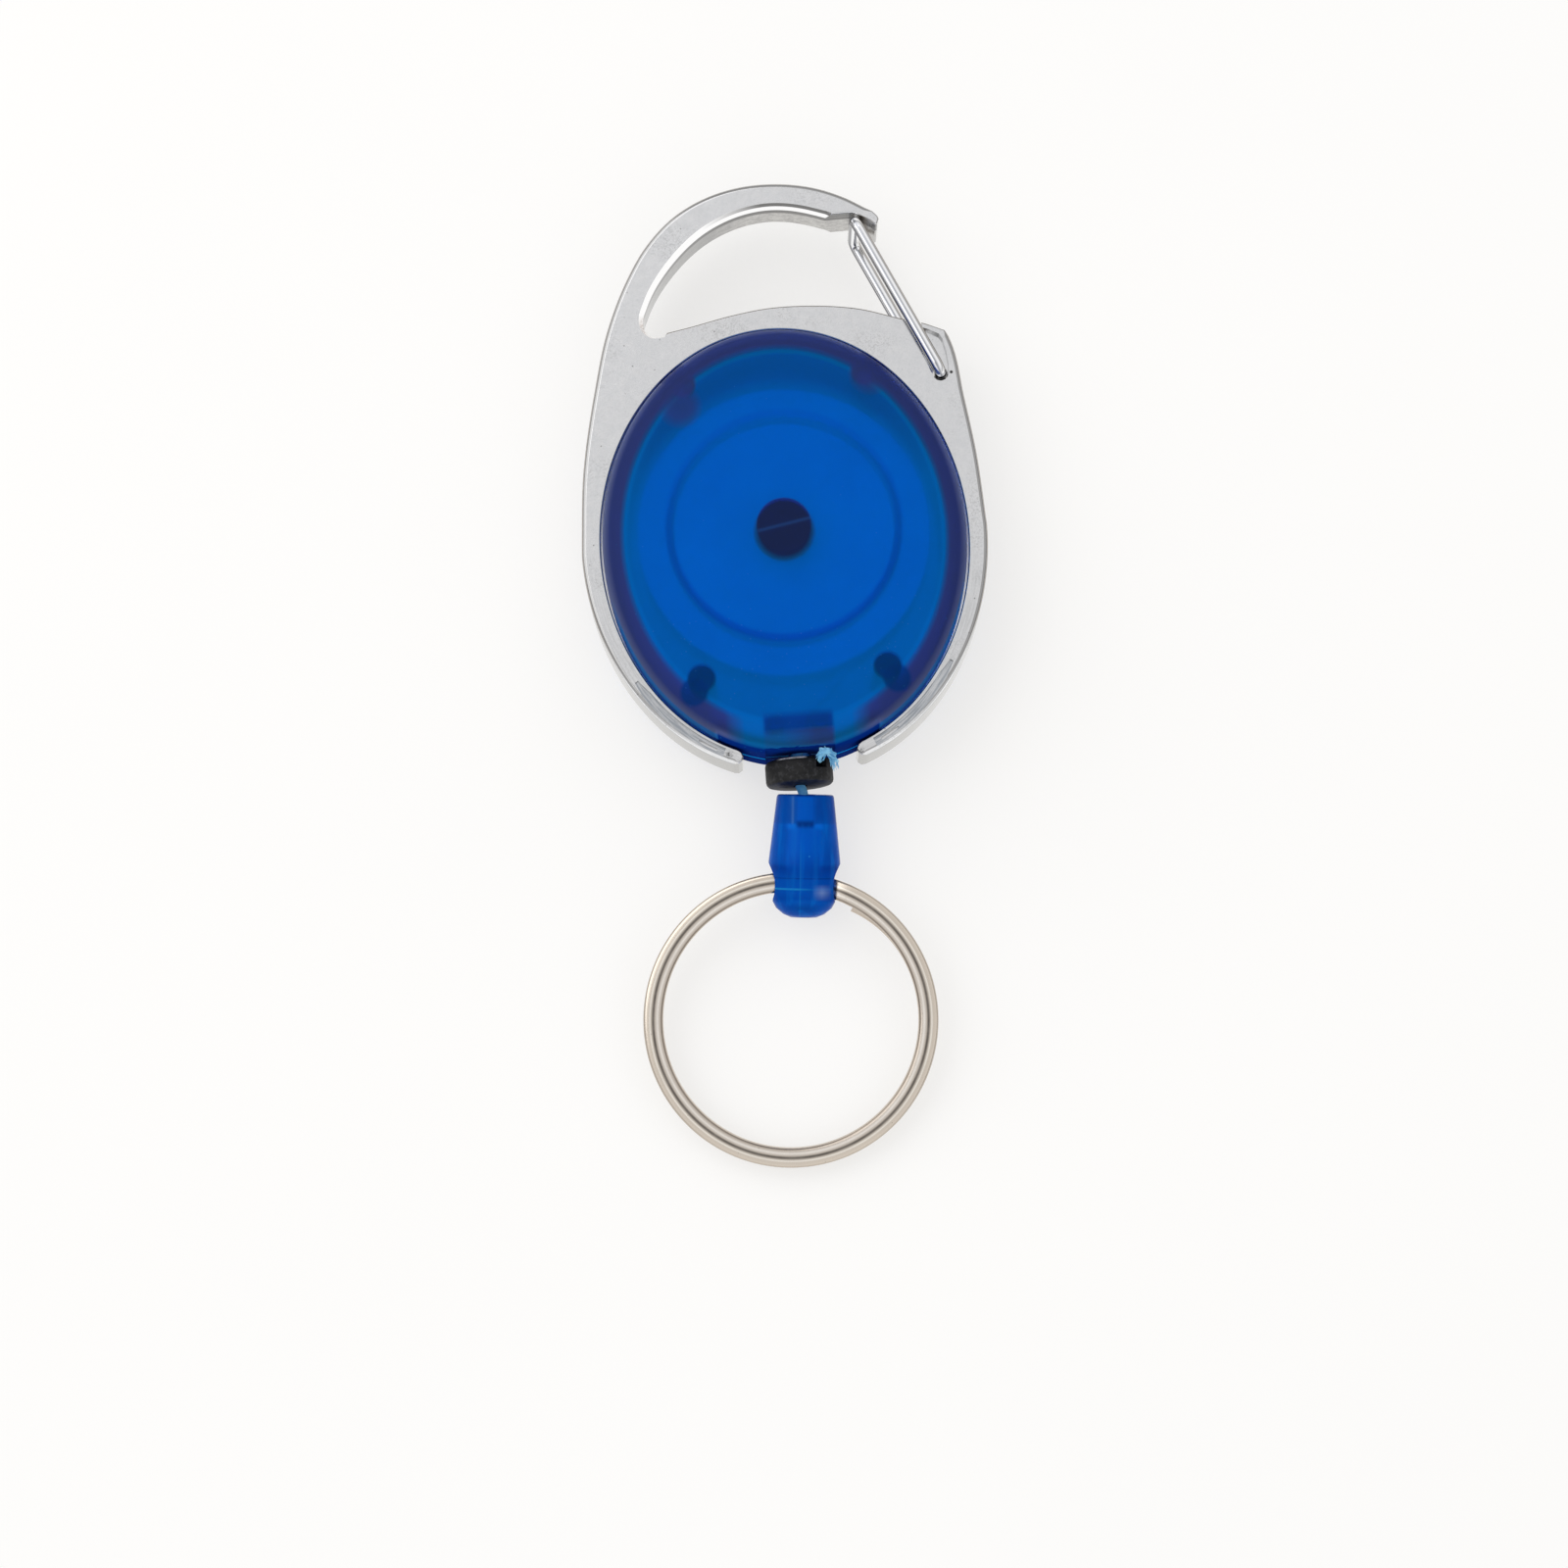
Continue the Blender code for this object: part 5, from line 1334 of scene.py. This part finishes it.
def plate_look(name, smooth, rough, ripple):
    """Bright plating: worn faces, a painted highlight on the bevel in the hook, walls toned with painted
    shade and painted reflections of the floor and the case, and painted shade in the recess, the creases,
    the channels and along the edges; darker towards the eye's corner.
    """
    look = Look(name, rough, 1.0)
    both, within, near, rises, falls = look.both, look.within, look.near, look.rises, look.falls
    x, y, z = look.split(look.place)
    aside, along, up = look.split(look.normal)
    flat = look.math("ABSOLUTE", up)
    walls = falls(flat, *WALL_FLATNESS)
    from_eye = look.math("ADD", both(aside, look.math("SUBTRACT", x, EYE_MIDDLE[0])),
                         both(along, look.math("SUBTRACT", y, EYE_MIDDLE[1])))
    inner = falls(from_eye, -SOFT * 2, 0.0)
    outer = falls(inner)
    upper = rises(along, *UPPER_TILT)
    hanging = falls(along, *HANGING_TILT)
    patches = rises(look.noise(*PATCH_NOISE), *WORN_EDGE)
    grains = rises(look.noise(*GRAIN_NOISE), *WORN_EDGE)
    bevel = both(within(flat, *BEVEL_FLATNESS), inner, hanging)
    # Painted shade on the walls of the recess under the arch
    recess_shade = both(falls(flat, *RECESS_FLATNESS), falls(bevel), inner, hanging,
                  within(z, FRAME_FRONT - RECESS_MIDDLE, RECESS_HALF, SOFT / 4))
    # Painted shade lines along the crease below the arch chamfer and along the ridge at the top of the
    # bevel
    crease_shade = both(within(z, FRAME_FRONT - ARCH_CHAMFER_DEPTH - CREASE_HALF, CREASE_HALF, CREASE_SOFT),
                  inner, hanging)
    ridge_shade = both(within(z, FRAME_FRONT - RIDGE_HALF, RIDGE_HALF, CREASE_SOFT), bevel,
                 rises(x, -CASE_HALF_WIDTH / 3, 0.0))
    # the walls darkened with painted shade, standing in for the shaded floor that they mirror
    wall_shade = look.clouds(WALL_SHADE_NOISE, WALL_DARK, WALL_LIGHT, 0.38, 0.62)
    facing = falls(look.math("ADD", both(aside, x), both(along, y)), -SOFT * 2, 0.0)
    u, v = look.on_oval()
    out = look.reach(u, v)
    window = within(out, 1.0, WINDOW_REACH_SHARE, WINDOW_REACH_SHARE / 2)
    legs = falls(y, LOW_PART, 0.0)
    around = look.joined(look.math("MULTIPLY", out, STREAK_STRETCH), look.math("ARCTAN2", v, u))
    drawn = both(rises(look.noise(*STREAK_NOISE, around), *STREAK_EDGE), rises(flat, *STREAK_FLATNESS))
    channel = within(z, FRAME_FRONT - CHANNEL_DEPTH, SOFT / 4, SOFT / 4)
    pit = (PIVOT[0] + PIVOT_PIT_SIDE, PIVOT[1])
    marks = [
        (both(look.spread(patches, 0.25, 1.0), grains, 0.5), PLATE_WORN),
        (walls, wall_shade),
        # painted shade on the walls that face to the right
        (both(walls, look.spread(aside, 0.0, 0.7, 0.2, 0.5)), WALL_SIDE_SHADE),
        # painted reflection of the lit floor on the outer walls
        (both(walls, outer, 0.8), WALL_LIT_REFLECTION),
        # painted shade on the legs' outer walls
        (both(walls, outer, legs, 0.85), LEG_WALL_SHADE),
        # painted shade in the recess under the arch
        (both(recess_shade, 0.85), SHADE_AND_SPECK_GREY),
        (both(drawn, legs, 0.35), PLATE_WORN),
        # painted shade on the floors of the legs' channels, streaked
        (both(channel, look.spread(drawn, 0.3, 0.9)), PLATE_CHANNEL_SHADE),
        (both(falls(flat, *MIRROR_FLATNESS), facing, window, 0.8), PLATE_MIRROR_BLUE),
        # painted highlight: the bevel in the hook lighter than the face
        (bevel, PLATE_BEVEL_HIGHLIGHT),
        # painted shade along the crease and the ridge
        (both(look.math("MAXIMUM", crease_shade, ridge_shade), 0.85), SHADE_AND_SPECK_GREY),
        # painted dark reflection on the rounded outer edge
        (both(within(flat, *ROUNDING_FLATNESS), upper, 0.9), PLATE_ROUNDING_SHADE),
        # painted shade: thin dark lines along the outer and inner edges
        (both(within(flat, *OUTER_EDGE_FLATNESS), upper, outer, 0.75), EDGE_SHADE_BROWN),
        (both(within(flat, *INNER_EDGE_FLATNESS), inner, rises(along, *HANGING_TILT)), EDGE_SHADE_BROWN),
        # darker towards the eye's corner
        (both(near(x, y, EYE_CORNER, CORNER_REACH, SOFT * 2), inner, falls(flat, *FACE_FLATNESS),
              look.spread(grains, 0.3, 1.0)), CORNER_BROWN),
    ]
    # dark marks at the prongs' tips
    for mark in PRONG_MARKS:
        tip_mark = near(x, y, mark, PRONG_MARK_RADIUS, SOFT)
        marks.append((both(tip_mark, look.spread(grains, 0.2, 1.0)), SHADE_AND_SPECK_GREY))
    marks.append((near(x, y, pit, PIVOT_PIT_RADIUS, SOFT / 4), SHADE_AND_SPECK_GREY))
    marks.append((look.specks(*PLATE_SPECKS), SHADE_AND_SPECK_GREY))
    plating = look.clouds(PLATE_NOISE, PLATE_DARK, PLATE_LIGHT)
    look.feed("Base Color", look.layered(plating, marks))
    look.feed("Roughness", both(look.spread(look.noise(*SHEEN_NOISE), smooth, rough),
                                look.spread(bevel, 1.0, 0.3)))
    look.ripples(ripple)
    return look.mat


def wire_look(name, smooth, rough):
    """Drawn wire, toned around its section as it mirrors a dark room."""
    look = Look(name, rough, 1.0)
    along = gate_line()[0]
    aside, ahead = look.split(look.normal)[:2]
    turn = look.math("ADD", look.both(aside, along.y), look.both(ahead, -along.x))
    band = look.ramp(look.rises(turn, -1.0, 1.0), *WIRE_TONES)
    look.feed("Base Color", look.mix(look.specks(*WIRE_SPECKS), band, SHADE_AND_SPECK_GREY))
    look.drawn_finish(smooth, rough)
    return look.mat


def shell_look(name, clearness, roughness, grain):
    """Translucent blue; deeper in colour at the lips, the bosses and the post, where it is thick; with
    painted shade in its upper part, painted shadows of the upper sockets and round the post, a painted
    highlight along the lips' inner side and a painted sheen at the outer edge.
    """
    look = Look(name, roughness)
    look.set(IOR=1.08, Specular_IOR_Level=0.0)
    both, within, near, rises, falls = look.both, look.within, look.near, look.rises, look.falls
    x, y = look.split(look.place)[:2]
    side = look.math("ABSOLUTE", x)
    flat = look.math("ABSOLUTE", look.split(look.normal)[2])
    out = look.reach(*look.on_oval())
    turned_y = look.split(look.mapped((0, 0, 0), (0, 0, POST_SLOT_YAW)))[1]
    from_hub = look.reach(x, y)
    low = falls(y, LOW_PART - SOFT, LOW_PART + SOFT * 8)
    # painted shade over the upper part, outside the spool
    upper = both(rises(from_hub, *(SPOOL_RADIUS * reach for reach in UPPER_SHADE_SHARES)),
                 rises(y, SPOOL_RADIUS / 4, SPOOL_RADIUS * 0.75))
    gleam = within(out, GLEAM_SHARE, GLEAM_HALF_SHARE, RIM_SOFT_SHARE / 2)
    rim = within(out, RIM_MIDDLE_SHARE, RIM_HALF_SHARE, RIM_SOFT_SHARE)
    chin = both(within(side, 0.0, LIP_STOP, SOFT * 5), low)
    skirt = within(out, 1.0, SKIRT_HALF_SHARE, SKIRT_HALF_SHARE / 2)
    stop = both(chin, within(out, 1.0, 1 - GLEAM_SHARE, RIM_SOFT_SHARE))
    across = within(side, 0.0, EXIT_BLOCK_HALF_WIDTH, SOFT)
    exit_block = both(across, within(y, EXIT_BLOCK_MIDDLE, EXIT_BLOCK_HALF, SOFT * 2))
    lip = both(across, within(y, EXIT_LIP_MIDDLE, EXIT_LIP_HALF, SOFT),
               look.spread(x, 0.2, 0.8, -SOFT * 4, SOFT * 4))
    line = within(from_hub, SPOOL_LINE_SHARE * SPOOL_RADIUS, SPOOL_LINE_HALF_SHARE * SPOOL_RADIUS, SOFT)
    shade = near(x, y, (0, -POST_RADIUS / 4), POST_RADIUS * 1.04, SOFT * 2)
    slot = within(turned_y, 0.0, SLOT_LINE_HALF, SOFT / 2)
    wall = both(falls(flat, *SKIRT_FLATNESS), within(side, 0.0, LIP_STOP * 1.3, SOFT), low)
    marks = [
        # painted shade in the upper part
        (upper, UPPER_SHADE_BLUE),
        # painted highlight along the lips' inner side
        (both(gleam, 0.7), GLEAM_BLUE),
        (rim, RIM_BLUE),
        # painted sheen, lighter towards the dome's outer edge
        (both(rises(out, RIM_SHEEN_SHARE, 1.0), falls(chin)), RIM_SHEEN_BLUE),
        (both(skirt, low), EDGE_BLUE),
        (both(stop, 0.95), GLEAM_BLUE),
        (exit_block, BLOCK_BLUE),
        (lip, RIM_BLUE),
        (both(line, look.spread(y, 1.0, 0.35, -SPOOL_RADIUS, SPOOL_RADIUS / 2)), LINE_BLUE),
    ]
    for lobe in LOBES:
        marks.append((both(near(x, y, lobe, LOBE_RADIUS, SOFT * 3), 0.7), RIM_BLUE))
    for (px, py), tone in zip(pin_places()[2:], (RIM_BLUE, BOSS_BLUE)):
        for lean in PIN_LEAN_SHARES:
            marks.append((both(near(side, y, (px * lean, py * lean), BOSS_RADIUS, SOFT), 0.9), tone))
    marks += [
        (both(shade, 0.95), POST_SHADE_BLUE),
        (within(from_hub, 0.0, POST_RADIUS, SOFT / 2), look.mix(slot, POST_BLUE, POST_SLOT_BLUE)),
        (wall, SKIRT_BLUE),
        (both(look.specks(*DUST_SPECKS), 0.7), DUST_BLUE),
        (both(look.specks(*LOW_DUST_SPECKS), low, 0.5), DUST_BLUE),
    ]
    plastic = look.clouds(CLOUD_NOISE, CASE_BLUE, CASE_BLUE_LIGHT)
    look.feed("Base Color", look.layered(plastic, marks))
    look.feed("Transmission Weight", look.spread(wall, clearness, 0.05))
    look.sheen(look.noise(*MOULDED_NOISE), roughness * 0.92, roughness * 1.08)
    look.bump(look.noise(*MOULD_GRAIN_NOISE), grain)
    return look.mat


def fitting_look(name, roughness, grain):
    """Translucent blue with its bore, its cavity and the ring behind it showing through, darker at its head
    and tip, with a painted highlight streak beside the bore and a painted highlight low on its side.
    """
    look = Look(name, roughness)
    look.set(Transmission_Weight=0.5, IOR=1.09, Specular_IOR_Level=0.5)
    both, within, rises, falls = look.both, look.within, look.rises, look.falls
    place = (fitting_top(), fitting_turn())
    x, z = look.split(look.mapped(*place))[::2]
    down = look.math("MULTIPLY", z, -1 / FITTING_LENGTH)
    head = within(down, *HEAD_SHARES)
    hollow = both(within(x, 0.0, CAVITY_RADIUS, SOFT), falls(down, *HOLLOW_SHARES), falls(head), 0.8)
    bore = within(x, 0.0, FITTING_BORE, SOFT)
    drawn = look.mapped(*place, (1, 1, FITTING_STREAK))
    streaks = rises(look.noise(*FLOW_NOISE, drawn), *FLOW_EDGE)
    marks = (
        (both(head, 0.4), FITTING_DARK_BLUE),
        (hollow, CAVITY_BLUE),
        (both(bore, head, 0.8), CAVITY_BLUE),
        (both(bore, within(down, *SEAT_SHARES), 0.9), FITTING_DARK_BLUE),
        # painted highlight streak beside the bore
        (both(within(x, -1.4 * FITTING_BORE, SOFT / 4, SOFT / 2), head, 0.5), FITTING_HIGHLIGHT_GREY),
        (within(down, *MOUTH_SHARES), FITTING_DARK_BLUE),
        (both(rises(down, *RING_START_SHARES), falls(down, *RING_STOP_SHARES), 0.4), CAVITY_BLUE),
        (both(within(down, *RING_TOP_SHARES), 0.7), FITTING_DARK_BLUE),
        (both(within(down, *RING_MIDDLE_SHARES), look.spread(x, 0.9, 0.2, -SOFT * 2, SOFT * 2)),
         FITTING_TEAL),
        (both(within(x, -SOFT, SOFT / 8, SOFT / 4), look.spread(down, 0.0, 0.3, 0.3, 0.5)), FITTING_TEAL),
        (both(within(x, 0.0, CAVITY_RADIUS * 0.6, SOFT * 3), within(down, *TIP_SHARES), 0.6),
         FITTING_DARK_BLUE),
        (both(streaks, look.spread(head, 1.0, 0.3), 0.35), FITTING_LIGHT_BLUE),
        # painted highlight low on the fitting's side
        (both(within(x, FITTING_RADIUS / 2, SOFT, SOFT * 3), within(down, *SHINE_SHARES), 0.6),
         FITTING_SHINE),
        (look.specks(*FITTING_SPECKS), DUST_BLUE),
    )
    plastic = look.clouds(FITTING_NOISE, FITTING_BLUE, FITTING_BLUE_LIGHT, 0.35, 0.65)
    look.feed("Base Color", look.layered(plastic, marks))
    look.sheen(look.noise(*MOULDED_NOISE), roughness * 0.8, roughness * 1.2)
    look.bump(look.noise(*SHEEN_NOISE), grain)
    return look.mat


def spool_look(name):
    look = Look(name, 0.5)
    look.set(Specular_IOR_Level=0.1)
    cloudy = look.clouds(SPOOL_NOISE, SPOOL_BLUE, SPOOL_BLUE_LIGHT)
    from_hub = look.reach(*look.split(look.place)[:2])
    around = look.both(from_hub, 1 / SPOOL_RADIUS)
    line = look.within(around, SPOOL_LINE_SHARE, SPOOL_LINE_HALF_SHARE, SPOOL_LINE_HALF_SHARE / 2)
    look.feed("Base Color", look.mix(line, cloudy, SPOOL_LINE_BLUE))
    look.bump(look.noise(*SPOOL_GRAIN_NOISE), SPOOL_GRAIN)
    return look.mat


def ring_look(name, smooth, rough):
    """Nickel, with painted highlights and dark reflections across the strand's rounding."""
    look = Look(name, rough, 1.0)
    slot, tilt, centre = ring_pose()
    x, y = look.split(look.mapped(slot, (tilt, 0, -FITTING_YAW)))[:2]
    across = look.rises(look.reach(x, y, centre), RING_RADIUS - RING_BAND, RING_RADIUS)
    cloudy = look.spread(look.noise(*RING_NOISE), 0.0, 0.2, 0.4, 0.7)
    band = look.mix(cloudy, look.ramp(across, *RING_TONES), RING_CLOUD)
    look.feed("Base Color", look.mix(look.specks(*RING_SPECKS), band, RING_SPECK))
    look.drawn_finish(smooth, rough)
    return look.mat


def plain_look(name, light, dark, smooth, rough, grain, scale=1200.0, level=0.5):
    look = Look(name, rough)
    look.set(Specular_IOR_Level=level)
    look.feed("Base Color", look.clouds((scale / 4, 4.0, 0.6), dark, light))
    look.sheen(look.noise(scale, 3.0, 0.6), smooth, rough)
    look.bump(look.noise(scale * 4, 3.0, 0.6), grain)
    return look.mat


def rubber_look(name):
    """Black rubber, mottled and dusty, with painted shade on its end face and a painted highlight strip on
    its back shoulder.
    """
    look = Look(name, 0.6)
    look.set(Specular_IOR_Level=0.2)
    x, y = look.split(look.place)[:2]
    along, up = look.split(look.normal)[1:]
    thin = STOPPER_ROUND / 5
    strip = look.both(look.within(y, STOPPER_BACK - STOPPER_ROUND / 4, thin, thin),
                      look.within(x, -STOPPER_RADIUS / 4, STOPPER_RADIUS / 2.5, SOFT),
                      look.rises(up, 0.2, 0.4))
    marks = (
        # painted shade on the end face, standing in for its hollow
        (look.falls(along, *STOPPER_FACE_TILT), RUBBER_FACE_SHADE),
        # painted highlight strip on the back shoulder
        (strip, STOPPER_HIGHLIGHT),
        (look.spread(look.noise(*RUBBER_MOTTLE_NOISE), 0.0, 0.8, 0.5, 0.68), RUBBER_MOTTLE),
        (look.both(look.specks(*RUBBER_SPECKS), 0.6), RUBBER_SPECK),
    )
    ground = look.clouds(RUBBER_NOISE, RUBBER_DARK, RUBBER_LIGHT, 0.35, 0.7)
    look.feed("Base Color", look.layered(ground, marks))
    look.sheen(look.noise(*RUBBER_SHEEN_NOISE), 0.45, 0.7)
    look.bump(look.noise(*RUBBER_GRAIN_NOISE), RUBBER_GRAIN)
    return look.mat


# Pieces

FRAME_CREASE = radians(17.0)
FIBRE_RADIUS = 0.00004
FIBRE_RESOLUTION = 1
FIBRE_COUNT = 60
FIBRE_STARTS = 4             # places along the tail where fibres start
FIBRE_ENDS = 6
FIBRE_TWIST = 2.5
FIBRE_CURL = 0.9
GOLDEN_TURN = radians(137.5)
FRINGE = 0.0004              # how far the outermost fibres stand from the tail's middle

# The frayed tail's way over the stopper's shoulder, from the stopper's upper right rim
TUFT_STEPS = 3
TUFT_ROUTE = (
    (-0.0014, -0.0006, -0.0001), (-0.0012, -0.0002, 0.0006), (-0.0009, 0.0002, 0.0011),
    (-0.0004, 0.0001, 0.0011), (-0.0001, -0.0003, 0.0007), (0.0001, -0.0009, 0.0),
    (0.00015, -0.0015, -0.0006),
)


def make_tuft(mat):
    """Loose fibres that arch over the stopper's shoulder and hang down beside it."""
    corner = Vector((STOPPER_RADIUS - STOPPER_SIDE, STOPPER_BACK, MID_HEIGHT + STOPPER_RADIUS))
    line = smooth_through([corner + Vector(offset) for offset in TUFT_ROUTE], TUFT_STEPS)
    curve = new_curve("cord_tail", FIBRE_RADIUS, FIBRE_RESOLUTION)
    last = len(line) - 1
    for n in range(FIBRE_COUNT):
        reach = sqrt((n + 0.5) / FIBRE_COUNT)
        points, swell = [], []
        for k in range((n * 5) % FIBRE_STARTS, last - (n * 7) % FIBRE_ENDS + 1):
            share = k / last
            width = FRINGE * reach * (0.9 + 0.35 * sin(9.0 * share + n))
            angle = n * GOLDEN_TURN + FIBRE_TWIST * share + FIBRE_CURL * sin(6.0 * share + n)
            away = Vector((cos(angle), 0.8 * sin(angle), 0.6 * sin(angle + n)))
            points.append(line[k] + away * width)
            swell.append(1.0 - 0.5 * share ** 3)
        add_line(curve, points, swell)
    return add_object("cord_tail", curve, mat)


def make_pieces():
    chrome = plate_look("chrome_look", smooth=0.10, rough=0.18, ripple=0.000002)
    wire = wire_look("wire_look", smooth=0.08, rough=0.14)
    nickel = ring_look("nickel_look", smooth=0.16, rough=0.26)
    front = shell_look("front_look", clearness=0.75, roughness=0.38, grain=0.000003)
    rear = shell_look("rear_look", clearness=0.45, roughness=0.35, grain=0.000003)
    blue = fitting_look("fitting_look", roughness=0.16, grain=0.000006)
    spool_blue = spool_look("spool_look")
    cover = plain_look("cover_look", COVER_LIGHT, COVER_DARK, smooth=0.3, rough=0.4, grain=0.000002)
    strip = metal_look("spring_look", STRIP_LIGHT, STRIP_DARK, smooth=0.2, rough=0.35, ripple=0.000002)
    cord = plain_look("cord_look", CORD_LIGHT, CORD_DARK, smooth=0.7, rough=0.9, grain=0.00002,
                      scale=3000.0, level=0.2)
    fibre = plain_look("fibre_look", FIBRE_LIGHT, FIBRE_DARK, smooth=0.6, rough=0.8, grain=0.000005,
                       scale=6000.0, level=0.2)
    rubber = rubber_look("rubber_look")
    piece(make_front_shell(front), "case", "case_blue", "front_shell")
    piece(make_rear_shell(rear), "case", "case_blue", "rear_shell")
    piece(make_spool(spool_blue), "drum", "spool_blue", "spool")
    piece(make_spring_cover(cover), "drum", "cover_clear", "spring_cover")
    piece(make_power_spring(strip), "drum", "spring_steel", "power_spring")
    piece(make_cord_core(cord), "drum", "cord_blue", "cord_core")
    piece(make_winding(cord), "drum", "cord_blue", "cord_winding")
    piece(make_frame(chrome), "case", "chrome", "carabiner_frame", smooth_angle=FRAME_CREASE)
    gate_axis = add_empty("gate_axis", (*PIVOT, MID_HEIGHT))
    piece(make_gate(wire, gate_axis), "gate", "wire_steel", "wire_gate")
    piece(make_stopper(rubber), "cord_head", "rubber_black", "stopper")
    piece(make_tuft(fibre), "cord_head", "cord_blue", "cord_tail")
    piece(make_cord_end(cord), "cord_head", "cord_blue", "cord_end")
    fitting_axis = add_empty("fitting_axis", fitting_top(), fitting_turn())
    piece(make_fitting(blue, fitting_axis), "fitting", "case_blue", "ring_fitting")
    slot, tilt, centre = ring_pose()
    ring_axis = add_empty("ring_axis", slot, (tilt, 0, -FITTING_YAW))
    piece(make_split_ring(nickel, ring_axis, centre), "ring", "ring_steel", "split_ring")
    run = settle(make_cord_run(cord))
    run.modifiers.clear()
    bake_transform(run)
    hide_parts("cord_run")


# Stage, light and camera

FLOOR_SIZE = 1.2
FLOOR_NOISE_SCALE = 30.0
CAMERA_PLACE = Vector((-0.00627, -0.08754, 0.4))
CAMERA_TILT = radians(8.96)
CAMERA_ROLL = radians(4.1)
FOCAL_PIXELS = 3990.0
FRAME_PIXELS = 1600.0
SENSOR_WIDTH = 36.0
CLIP_RANGE = (0.01, 10.0)
LAMP_PLACE = Vector((-0.5, 0.35, 0.6))
LAMP_AIM = Vector((0, -0.02, 0))
LAMP_SIZE = 0.95
LAMP_POWER = 2.9
FLOOR_GLOW_SHARES = {"Is Camera Ray": 0.62, "Is Transmission Ray": 0.62, "Is Glossy Ray": 1.0}

# Height share of the sky's direction, and its level there
SKY_SHARES = ((0.0, 0.35), (0.25, 0.55), (0.6, 0.92), (0.85, 0.90), (0.94, 0.80), (1.0, 0.78))
SKY_BLUE_SHARE = 1.005       # how much stronger the sky's blue is
NEAR_SKY_LEVEL = 0.95        # the sky low down on the viewer's side
NEAR_SKY_REACH = (-0.5, -0.9)    # the direction's share along Y where it starts and is whole


def make_floor():
    bm = bmesh.new()
    bmesh.ops.create_grid(bm, x_segments=2, y_segments=2, size=FLOOR_SIZE / 2)
    look = Look("floor_white", 0.9)
    look.set(Specular_IOR_Level=0.0)
    grain = look.add("TexNoise", "Fac", {"Scale": FLOOR_NOISE_SCALE})
    look.feed("Base Color", look.ramp(grain, (0.0, FLOOR_DARK), (1.0, FLOOR_LIGHT)))
    glow = look.add("Emission", "Emission", {"Color": FLOOR_GLOW})
    rays = look.add("LightPath", "Is Camera Ray", {}).node.outputs
    total = 0.0
    for key, share in FLOOR_GLOW_SHARES.items():
        total = look.add("Math", "Value", {0: rays[key], 1: share, 2: total}, operation="MULTIPLY_ADD",
                         use_clamp=True)
    lit = look.add("MixShader", "Shader", {"Fac": total, 1: look.shader.outputs["BSDF"], 2: glow})
    look.links.new(lit, look.nodes["Material Output"].inputs["Surface"])
    floor = add_object("floor", mesh_from(bm, "floor"), look.mat)
    floor.location.z = -REST_GAP


def make_world():
    world = bpy.data.worlds.new("studio")
    bpy.context.scene.world = world
    world.use_nodes = True
    sky = Nodes(world.node_tree)
    back = sky.nodes["Background"]
    y, z = sky.split(sky.add("TexCoord", "Generated", {}))[1:]
    tone = sky.ramp(z, *((at, (level, level, level * SKY_BLUE_SHARE)) for at, level in SKY_SHARES))
    tone = sky.mix(sky.rises(y, *NEAR_SKY_REACH), tone, (NEAR_SKY_LEVEL,) * 3)
    tone = sky.mix(sky.add("LightPath", "Is Camera Ray", {}), tone, (1, 1, 1))
    sky.put(tone, back.inputs["Color"])
    back.inputs["Strength"].default_value = 1.0


def make_lamp():
    data = bpy.data.lights.new("key", "AREA")
    data.size = LAMP_SIZE
    data.energy = LAMP_POWER
    lamp = add_object("key", data)
    lamp.location = LAMP_PLACE
    lamp.rotation_euler = (LAMP_AIM - LAMP_PLACE).to_track_quat("-Z", "Y").to_euler()


def make_camera():
    data = bpy.data.cameras.new("camera")
    data.sensor_width = SENSOR_WIDTH
    data.lens = SENSOR_WIDTH * FOCAL_PIXELS / FRAME_PIXELS
    data.clip_start, data.clip_end = CLIP_RANGE
    camera = add_object("camera", data)
    right = Vector((cos(CAMERA_ROLL), -sin(CAMERA_ROLL), 0))
    ahead = Vector((sin(CAMERA_TILT) * sin(CAMERA_ROLL), sin(CAMERA_TILT) * cos(CAMERA_ROLL),
                    -cos(CAMERA_TILT)))
    up = right.cross(ahead)
    turn = Matrix((right, up, -ahead)).transposed().to_4x4()
    camera.matrix_world = Matrix.Translation(CAMERA_PLACE) @ turn
    bpy.context.scene.camera = camera


bpy.context.scene.view_settings.view_transform = "Standard"
make_pieces()
make_floor()
make_world()
make_lamp()
make_camera()
